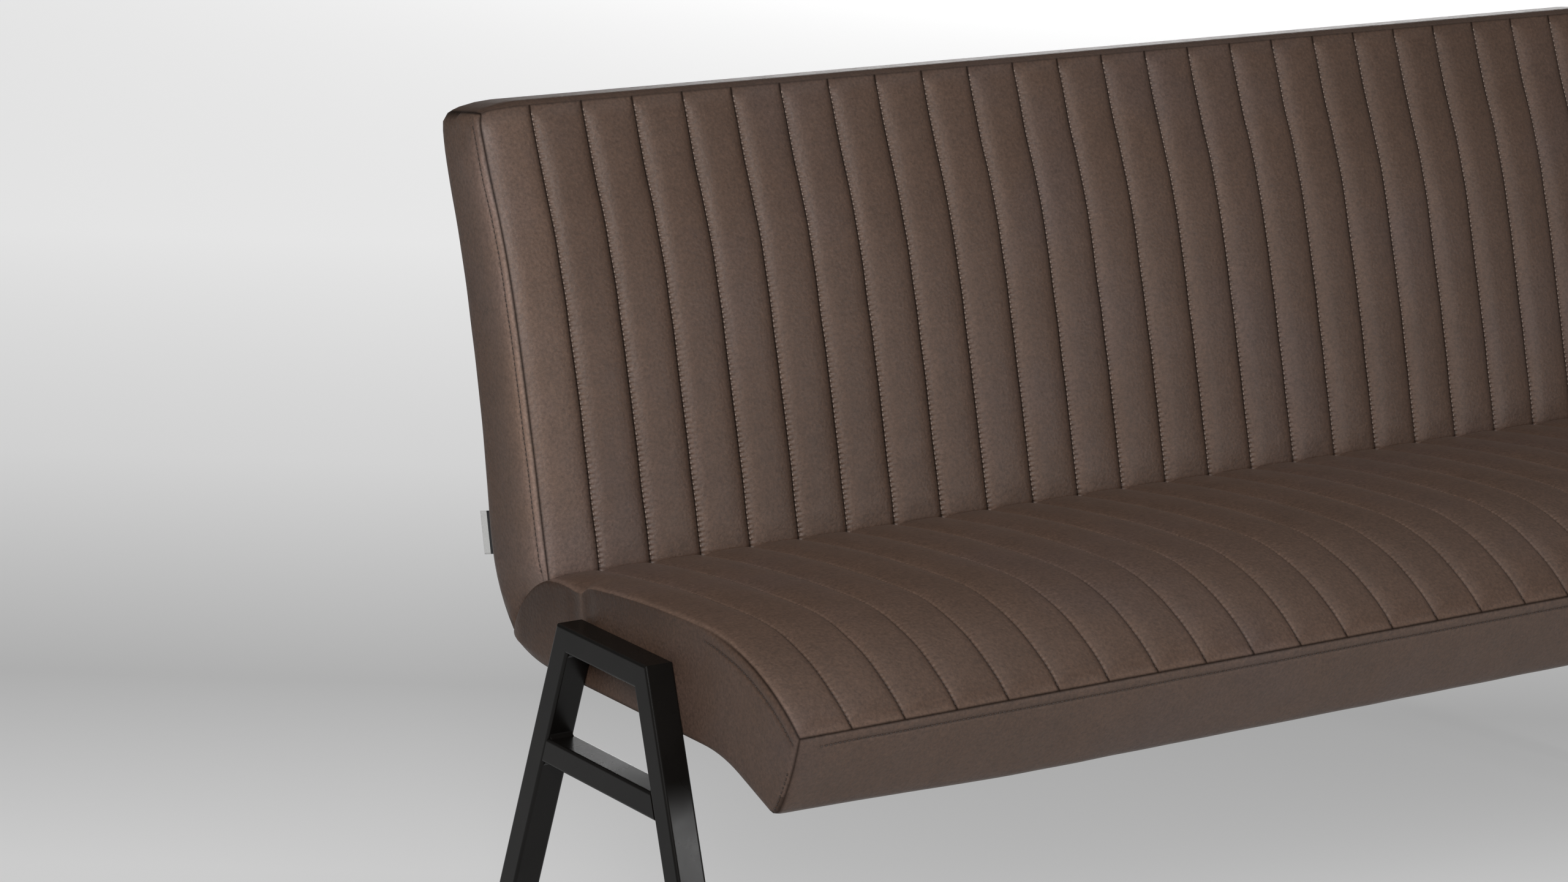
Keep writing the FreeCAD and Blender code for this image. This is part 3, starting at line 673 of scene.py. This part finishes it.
def simulate(name, points):
    # Blows up a grid of cloth that is pinned along its sewn columns and its edges, and gives where it went.
    ids = gridNumbers(points)
    piece = fillMesh(name, points.reshape(-1, 3), sheetFaces(ids), {})
    pinned = np.zeros(ids.shape, bool)
    pinned[:, ::len(swelling["columns"])] = pinned[[0, -1]] = True
    pins = piece.vertex_groups.new(name="pins")
    pins.add(ids[pinned].tolist(), 1.0, "REPLACE")
    cloth = piece.modifiers.new("air", "CLOTH")
    cloth.settings.vertex_group_mass = "pins"
    cloth.settings.use_pressure = True
    cloth.settings.uniform_pressure_force = swelling["pressure"]
    cloth.settings.mass = swelling["mass"]
    cloth.settings.tension_stiffness = cloth.settings.compression_stiffness = swelling["stiffness"]
    cloth.settings.bending_stiffness = swelling["bending"]
    cloth.settings.effector_weights.gravity = 0.0
    cloth.collision_settings.use_collision = False
    cloth.point_cache.frame_end = swelling["frames"]
    scene = bpy.context.scene
    for step in range(1, swelling["frames"] + 1):
        scene.frame_set(step)
    blown = piece.evaluated_get(bpy.context.evaluated_depsgraph_get()).to_mesh()
    places = np.empty(points.size, np.float32)
    blown.vertices.foreach_get("co", places)
    mesh = piece.data
    bpy.data.objects.remove(piece)
    bpy.data.meshes.remove(mesh)
    scene.frame_set(1)
    return places.reshape(points.shape) / mm


def puff(name, part, middle):
    # Moves a quilted panel by its simulated swelling: the movement is capped softly and carried from the
    # coarse cloth to every column of each channel and every row.
    points, along = part["points"], part["along"][:, 0]
    steps, count = stepsPerChannel, channels["count"]
    chosen = np.array(swelling["columns"])
    columns = np.append((np.arange(count)[:, None] * steps + chosen).ravel(), count * steps)
    rows = np.unique(np.append(np.arange(0, len(points), swelling["everyRow"]), len(points) - 1))
    coarse = points[rows][:, columns]
    normals = np.cross(coarse[1:, :-1] - coarse[:-1, :-1], coarse[:-1, 1:] - coarse[:-1, :-1])
    turned = (normals * (coarse[:-1, :-1] - middle)).sum() > 0
    moved = simulate(name, coarse[::-1] if turned else coarse)
    moved = (moved[::-1] if turned else moved) - coarse
    far = np.linalg.norm(moved, axis=-1, keepdims=True)
    moved = moved * swelling["cap"] * np.tanh(far / swelling["cap"]) / (far + 1e-9)
    kept = np.linalg.norm(moved, axis=-1).max()
    print(name, "moved", round(float(far.max()), 2), "mm, kept", round(float(kept), 2))
    across = hermite(np.append(columnPlace[chosen], 1.0), columnPlace[:steps])
    blocks = moved[:, np.arange(count)[:, None] * len(chosen) + np.arange(len(chosen) + 1)]
    fine = np.einsum("rjkc,fk->rjfc", blocks, across).reshape(len(rows), -1, 3)
    fine = np.concatenate([fine, np.zeros((len(rows), 1, 3))], 1)
    part["points"] = points + np.einsum("ar,rfc->afc", hermite(along[rows], along), fine)


seatParts, backParts = makeSeat(), makeBack()
seatMiddle, backMiddle = np.array(cushions["seatMiddle"]), np.array(cushions["backMiddle"])
puff("seatAir", seatParts["quilt"], seatMiddle)
puff("backAir", backParts["quilt"], backMiddle)
seatCushion = closeCushion("seatCushion", seatParts)
backCushion = closeCushion("backCushion", backParts)
print("cushions:", len(seatCushion.data.polygons), "and", len(backCushion.data.polygons), "faces")


# Sewing thread. A span leaves rows or columns of the grid free at both ends of a line.
thread = {
    "pitch": 5.0, "sides": 6, "shoulder": 0.62, "jitter": 0.12, "reach": 1.5,
    "seat": {"long": 3.4, "wide": 0.9, "high": 0.8, "lift": 0.15, "span": slice(3, -3), "aside": 0},
    "back": {"long": 2.9, "wide": 1.6, "high": 1.3, "lift": 0.3, "span": slice(2, -3), "aside": 1},
    "border": {"long": 3.3, "wide": 1.6, "high": 1.0, "lift": 0.3},
    "seatAhead": 20.0, "seatStop": -3, "backSpan": slice(2, -4), "bandSpan": slice(8, -8),
    "cornerSpan": slice(15, -2), "cornerColumn": -3,
}


def gridNormals(points, centre):
    # Unit normals from the cross product of the two grid directions, facing away from the middle.
    normal = np.cross(np.gradient(points, axis=0), np.gradient(points, axis=1))
    normal /= np.linalg.norm(normal, axis=-1, keepdims=True) + 1e-12
    return normal * np.sign((normal * (points - centre)).sum())


def reachAlong(line):
    # Running sum of the straight steps of a line in space.
    return runningSum(np.linalg.norm(np.diff(line, axis=0), axis=1))


def readAlong(values, reach, where):
    # Each coordinate at a length along the line, by straight interpolation.
    return np.stack([np.interp(where, reach, values[:, k]) for k in range(3)], -1)


def stitchCapsule():
    # Two rings round a bead and a point at each end: along, aside and up from -1 to 1.
    sides = thread["sides"]
    now = np.arange(sides)
    then = (now + 1) % sides
    turn = now / sides * math.tau
    ring = np.stack([0 * turn, np.cos(turn), np.sin(turn)], -1)
    shoulder = np.array([thread["shoulder"], 0.0, 0.0])
    points = np.vstack([[[-1, 0, 0]], ring - shoulder, ring + shoulder, [[1, 0, 0]]])
    near, far, tip = 1, 1 + sides, 1 + 2 * sides
    nearCap = np.stack([0 * now, near + then, near + now], -1)
    farCap = np.stack([0 * now + tip, far + now, far + then], -1)
    body = np.stack([near + now, near + then, far + then, far + now], -1)
    return points, body, np.vstack([nearCap, farCap])


def sew(name, lines, settings):
    # Beads set one after another along each line, turned to its run and to the cloth below.
    shape, body, caps = stitchCapsule()
    pitch, ahead = thread["pitch"], thread["reach"]
    places = []
    for line, normals, along in lines:
        reach = reachAlong(line)
        at = np.arange(math.ceil(along[0] / pitch), along[-1] / pitch) * pitch
        at = np.interp(at, along, reach) + rng.normal(0.0, thread["jitter"], len(at))
        run = readAlong(line, reach, at + ahead) - readAlong(line, reach, at - ahead)
        run /= np.linalg.norm(run, axis=1, keepdims=True)
        up = readAlong(normals, reach, at)
        up -= (up * run).sum(1, keepdims=True) * run
        up /= np.linalg.norm(up, axis=1, keepdims=True)
        centre = readAlong(line, reach, at) + up * settings["lift"]
        places.append(np.concatenate([centre, run, np.cross(up, run), up], 1))
    centre, run, aside, up = np.split(np.vstack(places), 4, axis=1)
    half = np.array([settings["long"], settings["wide"], settings["high"]]) / 2
    local = shape * half
    points = (centre[:, None] + local[None, :, :1] * run[:, None] + local[None, :, 1:2] * aside[:, None]
              + local[None, :, 2:] * up[:, None]).reshape(-1, 3)
    first = (np.arange(len(centre)) * len(shape))[:, None, None]
    return fillMesh(name, points, [(first + body).reshape(-1, 4), (first + caps).reshape(-1, 3)], {})


def linesThrough(part, middle, cuts):
    # Lines through a sheet's grid: the places, the normals there and the lengths along the seam.
    normals = gridNormals(part["points"], middle)
    return [(part["points"][cut], normals[cut], part["along"][cut]) for cut in cuts]


def sewChannels(name, part, middle, settings):
    # One line down each sewn seam, or down the column right of it.
    seams = range(stepsPerChannel + settings["aside"], part["points"].shape[1] - 1, stepsPerChannel)
    return sew(name, linesThrough(part, middle, [(settings["span"], k) for k in seams]), settings)


def sewBorders():
    # Topstitching along the side borders and the front band, and down the seat's front corners.
    seatRow = seat["borderSteps"].index(seat["stitchDown"])
    backRow = back["borderSteps"].index(back["stitchIn"])
    bandRow = seat["borderSteps"].index(seat["bandStitch"])
    first = int(np.searchsorted(seatParts["left"]["along"][0], seat["row"][0] + thread["seatAhead"]))
    ends = ("left", "right")
    lines = []
    for end in ends:
        lines += linesThrough(seatParts[end], seatMiddle, [(seatRow, slice(first, thread["seatStop"]))])
    for end in ends:
        lines += linesThrough(backParts[end], backMiddle, [(backRow, thread["backSpan"])])
    lines += linesThrough(seatParts["band"], seatMiddle, [(bandRow, thread["bandSpan"])])
    for end in ends:
        corner = (thread["cornerSpan"], thread["cornerColumn"])
        line, normals, _ = linesThrough(seatParts[end], seatMiddle, [corner])[0]
        lines.append((line, normals, reachAlong(line)))
    return sew("borderThread", lines, thread["border"])


threads = [
    sewChannels("seatChannelThread", seatParts["quilt"], seatMiddle, thread["seat"]),
    sewChannels("backChannelThread", backParts["quilt"], backMiddle, thread["back"]),
    sewBorders(),
]
print("threads:", sum(len(piece.data.polygons) for piece in threads), "faces")


# Materials
def newMaterial(name):
    material = bpy.data.materials.new(name)
    material.use_nodes = True
    tree = material.node_tree
    return material, tree, tree.nodes["Principled BSDF"]


def setInputs(tree, node, inputs):
    # An input is another node's socket, which is linked, or a value for the node's own socket.
    for key, value in inputs.items():
        if isinstance(value, bpy.types.NodeSocket):
            tree.links.new(value, node.inputs[key])
        else:
            node.inputs[key].default_value = value


def addNode(tree, kind, inputs, **properties):
    # A node with its properties and inputs set.
    made = tree.nodes.new("ShaderNode" + kind)
    for key, value in properties.items():
        setattr(made, key, value)
    setInputs(tree, made, inputs)
    return made


def objectPlace(tree):
    return addNode(tree, "TexCoord", {}).outputs["Object"]


def pointMark(tree, name):
    return addNode(tree, "Attribute", {}, attribute_name=name).outputs["Fac"]


def noise(tree, place, scale, detail=3.0, rough=0.55):
    inputs = {"Vector": place, "Scale": scale, "Detail": detail, "Roughness": rough}
    return addNode(tree, "TexNoise", inputs).outputs["Fac"]


def ramp(tree, factor, stops):
    made = addNode(tree, "ValToRGB", {"Fac": factor})
    line = made.color_ramp
    while len(line.elements) < len(stops):
        line.elements.new(0.5)
    for element, (place, colour) in zip(line.elements, stops):
        element.position, element.color = place, (*colour, 1.0)
    return made.outputs["Color"]


def maths(tree, operation, a, b=0.0):
    return addNode(tree, "Math", {0: a, 1: b}, operation=operation).outputs[0]


def spread(tree, value, low, high, start=0.0, stop=1.0):
    # Carries a value evenly from one range to another.
    inputs = {"Value": value, "From Min": start, "From Max": stop, "To Min": low, "To Max": high}
    return addNode(tree, "MapRange", inputs).outputs["Result"]


def multiply(tree, colour, *factors):
    # A colour times one number after another.
    for factor in factors:
        inputs = {0: colour, "Scale": factor}
        colour = addNode(tree, "VectorMath", inputs, operation="SCALE").outputs[0]
    return colour


def bump(tree, height, strength, distance, normal=None):
    inputs = {"Height": height, "Strength": strength, "Distance": distance}
    if normal is not None:
        inputs["Normal"] = normal
    return addNode(tree, "Bump", inputs).outputs["Normal"]


# In each look a noise is (scale, detail, roughness), a bump (strength, distance), tones (place, colour).
microfibre = {
    "cloud": (5.5, 4.0, 0.6),
    "tones": [(0.32, (0.0705, 0.0405, 0.0270)), (0.5, (0.0775, 0.0448, 0.0302)),
              (0.66, (0.0745, 0.0450, 0.0335))],
    # per-channel scale of the painted light and shade
    "paintedLightScale": (0.30, 0.36, 0.42),
    "blotch": (42.0, 4.0, 0.6), "blotchRange": (0.84, 1.16),
    "grain": (310.0, 3.0, 0.75), "grainRange": (0.25, 1.75),
    # colour factor at the full painted seam shade
    "paintedSeamDark": 0.15,
    "rubbed": 55.0, "rough": (0.44, 0.56),
    "gloss": 0.42, "seamGloss": 0.05,
    "sheen": 0.05, "sheenRough": 0.45, "sheenTint": (0.62, 0.48, 0.40, 1.0),
    "pebble": 330.0, "pebbleBump": (0.40, 0.0008),
    "fuzz": (800.0, 4.0, 0.7), "fuzzBump": (0.45, 0.0005),
    "puckerBump": (0.8, 0.0006),
}
threadLook = {
    "mottle": 160.0, "plies": 420.0, "bump": (0.6, 0.0002), "rough": 0.6,
    "pale": [(0.3, (0.17, 0.120, 0.094)), (0.7, (0.25, 0.185, 0.150))],
    "dark": [(0.3, (0.030, 0.019, 0.014)), (0.7, (0.052, 0.034, 0.026))],
}
coatLook = {
    "mottle": (9.0, 5.0, 0.6), "tones": [(0.35, (0.0044, 0.0038, 0.0033)), (0.75, (0.0076, 0.0066, 0.0058))],
    "rubbed": (30.0, 4.0), "rough": (0.22, 0.34), "relief": (1400.0, 2.0), "bump": (0.10, 0.0002),
    "gloss": 0.16, "metal": 0.0,
}
plasticLook = {
    "mottle": (120.0, 5.0), "tones": [(0.3, (0.012, 0.012, 0.012)), (0.7, (0.022, 0.021, 0.021))],
    "rubbed": (360.0, 3.0), "rough": (0.45, 0.6), "relief": (900.0, 4.0), "bump": (0.4, 0.0002),
    "gloss": 0.5, "metal": 0.0,
}
zincLook = {
    "mottle": (60.0, 5.0), "tones": [(0.3, (0.42, 0.41, 0.38)), (0.7, (0.58, 0.57, 0.53))],
    "rubbed": (180.0, 3.0), "rough": (0.28, 0.42), "relief": (500.0, 4.0), "bump": (0.4, 0.0001),
    "gloss": 0.5, "metal": 1.0,
}
timberLook = {
    "stretch": (3.0, 40.0, 12.0), "grain": (6.0, 6.0, 0.6), "bump": (0.3, 0.0004), "rough": 0.65,
    "tones": [(0.35, (0.30, 0.19, 0.10)), (0.7, (0.46, 0.33, 0.20))],
}
liningLook = {
    "dots": 480.0, "jumble": 0.15, "bump": (0.5, 0.0003), "rough": 0.9,
    "tones": [(0.1, (0.010, 0.010, 0.011)), (0.5, (0.024, 0.023, 0.024))],
}


def makeMicrofibre():
    # Suede cloth: cloudy hue times painted light and shade, blotches, fine grain and painted shade at
    # the seams; pebbled, fuzzy, and puckered by a wave along the seams.
    look = microfibre
    material, tree, shader = newMaterial("suedeMicrofibre")
    place, paintedSeamShade = objectPlace(tree), pointMark(tree, "paintedSeamShade")
    cloud = ramp(tree, noise(tree, place, *look["cloud"]), look["tones"])
    # Painted light and shade: the colour times one plus the mark times a scale per channel
    inputs = {0: pointMark(tree, "paintedLightShade"), 1: look["paintedLightScale"], 2: (1.0, 1.0, 1.0)}
    paintedLightScale = addNode(tree, "VectorMath", inputs, operation="MULTIPLY_ADD").outputs[0]
    inputs = {0: cloud, 1: paintedLightScale}
    colour = addNode(tree, "VectorMath", inputs, operation="MULTIPLY").outputs[0]
    blotch = spread(tree, noise(tree, place, *look["blotch"]), *look["blotchRange"])
    grain = spread(tree, noise(tree, place, *look["grain"]), *look["grainRange"])
    # Painted seam shade: darker towards the seams
    colour = multiply(tree, colour, blotch, grain, spread(tree, paintedSeamShade, 1.0, look["paintedSeamDark"]))
    wave = maths(tree, "MULTIPLY", pointMark(tree, "along"), math.tau / (thread["pitch"] * mm))
    wave = maths(tree, "MULTIPLY", maths(tree, "COSINE", wave), pointMark(tree, "pucker"))
    inputs = {"Vector": place, "Scale": look["pebble"]}
    pebble = addNode(tree, "TexVoronoi", inputs, feature="SMOOTH_F1").outputs["Distance"]
    normal = bump(tree, pebble, *look["pebbleBump"])
    normal = bump(tree, noise(tree, place, *look["fuzz"]), *look["fuzzBump"], normal)
    normal = bump(tree, wave, *look["puckerBump"], normal)
    shader.inputs["Specular IOR Level"].default_value = look["gloss"]
    setInputs(tree, shader, {
        "Base Color": colour,
        "Roughness": spread(tree, noise(tree, place, look["rubbed"]), *look["rough"]),
        "Specular IOR Level": spread(tree, paintedSeamShade, look["gloss"], look["seamGloss"]),
        "Sheen Weight": look["sheen"],
        "Sheen Roughness": look["sheenRough"],
        "Sheen Tint": look["sheenTint"],
        "Normal": normal,
    })
    return material


def makeThread(name, tones):
    # Twisted thread, its plies as a fine slanting wave.
    material, tree, shader = newMaterial(name)
    place = objectPlace(tree)
    inputs = {"Vector": place, "Scale": threadLook["plies"]}
    plies = addNode(tree, "TexWave", inputs, bands_direction="DIAGONAL").outputs["Fac"]
    setInputs(tree, shader, {
        "Base Color": ramp(tree, noise(tree, place, threadLook["mottle"]), tones),
        "Roughness": threadLook["rough"],
        "Normal": bump(tree, plies, *threadLook["bump"]),
    })
    return material


def makeHard(name, look):
    # A two-tone mottle with its own roughness and a fine relief.
    material, tree, shader = newMaterial(name)
    place = objectPlace(tree)
    setInputs(tree, shader, {
        "Base Color": ramp(tree, noise(tree, place, *look["mottle"]), look["tones"]),
        "Roughness": spread(tree, noise(tree, place, *look["rubbed"]), *look["rough"]),
        "Normal": bump(tree, noise(tree, place, *look["relief"]), *look["bump"]),
        "Specular IOR Level": look["gloss"],
        "Metallic": look["metal"],
    })
    return material


def makeGrained(name, look, pattern):
    # Two tones and a relief from one pattern, on a plain roughness.
    material, tree, shader = newMaterial(name)
    grain = pattern(tree, look)
    setInputs(tree, shader, {
        "Base Color": ramp(tree, grain, look["tones"]),
        "Roughness": look["rough"],
        "Normal": bump(tree, grain, *look["bump"]),
    })
    return material


def timberGrain(tree, look):
    # Long grain: noise stretched along the board.
    inputs = {"Vector": objectPlace(tree), "Scale": look["stretch"]}
    stretched = addNode(tree, "Mapping", inputs).outputs["Vector"]
    return noise(tree, stretched, *look["grain"])


def pressedDots(tree, look):
    # Press pattern of a thin non-woven cloth: the way to the nearest of nearly even points.
    inputs = {"Vector": objectPlace(tree), "Scale": look["dots"], "Randomness": look["jumble"]}
    return addNode(tree, "TexVoronoi", inputs).outputs["Distance"]


suede, powderCoat = makeMicrofibre(), makeHard("blackPowderCoat", coatLook)
paleThread = makeThread("paleThread", threadLook["pale"])
darkThread = makeThread("darkThread", threadLook["dark"])
liningCloth = makeGrained("liningCloth", liningLook, pressedDots)
plywood = makeGrained("plywood", timberLook, timberGrain)
footPlastic, zincSteel = makeHard("footPlastic", plasticLook), makeHard("zincSteel", zincLook)


def dress(piece, material):
    piece.data.materials.clear()
    piece.data.materials.append(material)


for name, node in nodes.items():
    if any(word in name for word in ("rail", "leg", "weld")) and "nuts" not in name:
        dress(node, powderCoat)
    elif "foot" in name:
        dress(node, footPlastic)
    elif "bolts" in name or "nuts" in name:
        dress(node, zincSteel)
    elif any(word in name for word in ("beam", "rib", "post", "side_panel")):
        dress(node, plywood)

for cushion in (seatCushion, backCushion):
    dress(cushion, suede)
for piece, material in zip(threads, (darkThread, paleThread, darkThread)):
    dress(piece, material)


# Cloths under the seat
lining = {"from": 62.0, "past": 14.0, "end": 739.5, "off": 0.7, "rows": 40, "columns": 60, "sag": 0.0,
          "slack": (0.5, 160.0)}
dust = {"from": 0.135, "to": 0.93, "end": 727.0, "off": 0.9, "rows": 60, "columns": 60, "sag": 0.5,
        "slack": (0.5, 160.0)}


def clothUnder(name, path, settings):
    # A grid along a drawn path, moved square to it and downward, with a faint slack.
    share = np.linspace(0.0, 1.0, settings["rows"])
    yz = onPath(path, share)
    square = squareTo(yz)
    if square[:, 1].mean() > 0:
        square = -square
    x = np.linspace(-settings["end"], settings["end"], settings["columns"])
    slack = settings["slack"][0] + unevenness(x, share[:, None] * pathLong(path), *settings["slack"])
    places = yz[:, None] + square[:, None] * (settings["off"] + settings["sag"] * slack)[..., None]
    piece = sheetPiece(name, panel(x, places), seatMiddle, {})
    dress(piece, liningCloth)
    return piece, pathLong(path)


liningPath = np.vstack([
    onLine(seatRoll, np.linspace(lining["from"], seatRoll["long"], pathPoints["lining"])),
    [flatEnd + (-lining["past"], 0.0)],
])
seatLining, liningLong = clothUnder("seatLining", liningPath, lining)
dustPath = onPath(underPath, np.linspace(dust["from"], dust["to"], pathPoints["dust"]))
dustCover, dustLong = clothUnder("dustCover", dustPath, dust)

# Blank folded tab in the rear side seam of the left end
tab = {
    "up": 75.5, "high": 41.5, "sewnIn": 3.0, "free": 16.0, "fold": 0.55, "flare": 0.22, "from": 742.6,
    "thick": 0.35, "rows": 24, "leafPoints": 14, "foldPoints": 9,
    "dark": (0.010, 0.010, 0.011), "silver": (0.60, 0.60, 0.59), "turnAt": 7.0, "turnFade": 0.3,
    "mottle": 900.0, "mottleRange": (0.8, 1.2), "ribs": 320.0, "bump": (0.4, 0.0002), "rough": 0.42,
}


def makeTab():
    # A ribbon folded once: out along one leaf, half a circle round the fold, back along the other.
    out = np.linspace(-tab["sewnIn"], tab["free"] - tab["fold"], tab["leafPoints"])
    turn = np.linspace(-math.pi / 2, math.pi / 2, tab["foldPoints"])[1:-1]
    reach = np.concatenate([out, tab["free"] - tab["fold"] + tab["fold"] * np.cos(turn), out[::-1]])
    aside = np.concatenate([-tab["fold"] + 0 * out, tab["fold"] * np.sin(turn), tab["fold"] + 0 * out])
    up = np.linspace(0.0, tab["high"], tab["rows"])[:, None]
    yz = onLine(backRear, np.broadcast_to(tab["up"] + up, (tab["rows"], len(reach))), reach[None, :])
    x = -(tab["from"] + tab["flare"] * np.maximum(reach, 0.0) + aside + 0 * up)
    part = panel(x, yz)
    centre = part["points"].reshape(-1, 3).mean(0)
    piece = sheetPiece("sideTab", part, centre, {"leaf": np.tile(reach, tab["rows"])})
    wall = piece.modifiers.new("wall", "SOLIDIFY")
    wall.thickness, wall.offset = tab["thick"] * mm, -1.0
    return piece


def makeTabCloth():
    # Woven ribbon: a black half by the seam and a silver half by the fold, fine ribs across.
    material, tree, shader = newMaterial("tabRibbon")
    place = objectPlace(tree)
    edge = spread(tree, pointMark(tree, "leaf"), 0.0, 1.0, tab["turnAt"], tab["turnAt"] + tab["turnFade"])
    colour = ramp(tree, edge, [(0.0, tab["dark"]), (1.0, tab["silver"])])
    mottle = spread(tree, noise(tree, place, tab["mottle"]), *tab["mottleRange"])
    inputs = {"Vector": place, "Scale": tab["ribs"]}
    ribs = addNode(tree, "TexWave", inputs, bands_direction="Z").outputs["Fac"]
    setInputs(tree, shader, {
        "Base Color": multiply(tree, colour, mottle),
        "Roughness": tab["rough"],
        "Normal": bump(tree, ribs, *tab["bump"]),
    })
    return material


sideTab = makeTab()
dress(sideTab, makeTabCloth())
print("cloths and tab made")

# New pieces joined to the root body; the frame's parts that they replace are hidden
allPieces = [seatCushion, backCushion, seatLining, dustCover, sideTab, *threads]
for piece in allPieces:
    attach(piece, "root")
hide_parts("seat_quilt", "seat_front_border", "left_seat_border", "right_seat_border",
            "seat_foam", "seat_webbing")
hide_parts("back_quilt", "back_top_border", "left_back_border", "right_back_border",
            "back_rear_cover", "back_foam", "back_webbing")
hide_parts("seat_rear_lining")
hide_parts("seat_dust_cover")
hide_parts("side_tab")

# Floor, light and camera
studio = {
    "floorSize": 40.0,
    "tones": [(0.02, 0.465), (0.13, 0.34), (0.30, 0.55), (0.55, 0.69), (0.97, 0.68)],
    "fadeX": 0.57, "fadeY": 0.82, "fadeLong": 6.0,
    "floorShare": 0.7,
    "floorRough": 0.9,
    "glow": 0.85,
    "ambient": 0.145,
    "sky": 0.9,
    "lamps": [
        # name, place, aims at, width, height, watts
        ("keySoftbox", (-2.85, -2.25, 2.29), (0.0, 0.0, 0.6), 1.8, 1.4, 112.0),
        ("frontSoftbox", (1.14, -3.2, 0.9), (-0.6, -0.1, 0.45), 0.5, 0.9, 29.0),
        ("topSoftbox", (0.3, -0.6, 3.6), (0.0, 0.0, 0.5), 3.0, 1.6, 19.0),
        ("rearSoftbox", (5.6, 6.5, 1.6), (0.0, 0.25, 0.6), 3.9, 2.2, 150.0),
    ],
}
camera = {"place": (-2.9085, -3.3601, 1.6472), "yaw": 35.01, "pitch": 14.39, "roll": 1.83, "focal": 7410.0,
          "imageWide": 2560.0, "sensor": 36.0, "farthest": 100.0}


def makeFloor():
    # Pale ground: its tone runs along the line of sight, and it glows only for rays that show it.
    half = studio["floorSize"] / 2 / mm
    corners = np.array([(-half, -half, 0), (half, -half, 0), (half, half, 0), (-half, half, 0)], float)
    floor = fillMesh("studioFloor", corners, [np.array([[0, 1, 2, 3]])], {})
    material, tree, shader = newMaterial("paleFloor")
    place = addNode(tree, "SeparateXYZ", {"Vector": objectPlace(tree)}).outputs
    along, across = [maths(tree, "MULTIPLY", place[key[-1]], studio[key]) for key in ("fadeX", "fadeY")]
    away = spread(tree, maths(tree, "ADD", along, across), 0.0, 1.0, 0.0, studio["fadeLong"])
    tone = ramp(tree, away, [(share, (grey,) * 3) for share, grey in studio["tones"]])
    seen = addNode(tree, "LightPath", {}).outputs
    shown = maths(tree, "MAXIMUM", seen["Is Camera Ray"], seen["Is Glossy Ray"])
    shown = maths(tree, "MAXIMUM", shown, seen["Is Transmission Ray"])
    setInputs(tree, shader, {
        "Base Color": multiply(tree, tone, studio["floorShare"]),
        "Roughness": studio["floorRough"],
        "Emission Color": tone,
        "Emission Strength": maths(tree, "MULTIPLY", shown, studio["glow"]),
    })
    dress(floor, material)


def stand(name, data, place, side, up, look):
    # Sets a lamp or the camera at its place, its own axes in the columns; it looks along its minus z.
    turned = np.eye(4)
    turned[:3] = np.stack([side, up, -look, place], -1)
    holder = bpy.data.objects.new(name, data)
    bpy.context.scene.collection.objects.link(holder)
    holder.matrix_world = Matrix(turned.tolist())
    return holder


def makeLight():
    # An even sky, paler for the camera, and softboxes that face what they aim at.
    world = bpy.data.worlds.new("studioWorld")
    bpy.context.scene.world = world
    world.use_nodes = True
    tree = world.node_tree
    seen = addNode(tree, "LightPath", {}).outputs["Is Camera Ray"]
    setInputs(tree, tree.nodes["Background"], {
        "Color": (1.0, 1.0, 1.0, 1.0),
        "Strength": spread(tree, seen, studio["ambient"], studio["sky"]),
    })
    for name, place, aim, wide, high, watts in studio["lamps"]:
        lamp = bpy.data.lights.new(name, "AREA")
        lamp.shape, lamp.size, lamp.size_y, lamp.energy = "RECTANGLE", wide, high, watts
        look = np.array(aim) - np.array(place)
        look = look / np.linalg.norm(look)
        side = np.cross(look, (0.0, 0.0, 1.0))
        side = side / np.linalg.norm(side)
        stand(name, lamp, place, side, np.cross(side, look), look)


def makeCamera():
    # Looks along the yaw and down by the pitch, then rolls about its own line of sight.
    yaw, pitch, roll = (math.radians(camera[key]) for key in ("yaw", "pitch", "roll"))
    look = np.array([math.sin(yaw) * math.cos(pitch), math.cos(yaw) * math.cos(pitch), -math.sin(pitch)])
    side = np.array([math.cos(yaw), -math.sin(yaw), 0.0])
    up = np.cross(side, look)
    rolledSide = math.cos(roll) * side + math.sin(roll) * up
    rolledUp = math.cos(roll) * up - math.sin(roll) * side
    lens = bpy.data.cameras.new("photoCamera")
    lens.sensor_width = camera["sensor"]
    lens.lens = camera["focal"] / camera["imageWide"] * camera["sensor"]
    lens.clip_end = camera["farthest"]
    bpy.context.scene.camera = stand("photoCamera", lens, camera["place"], rolledSide, rolledUp, look)


makeFloor()
makeLight()
makeCamera()
bpy.context.scene.view_settings.view_transform = "Standard"
print("studio ready")

bpy.context.view_layer.update()
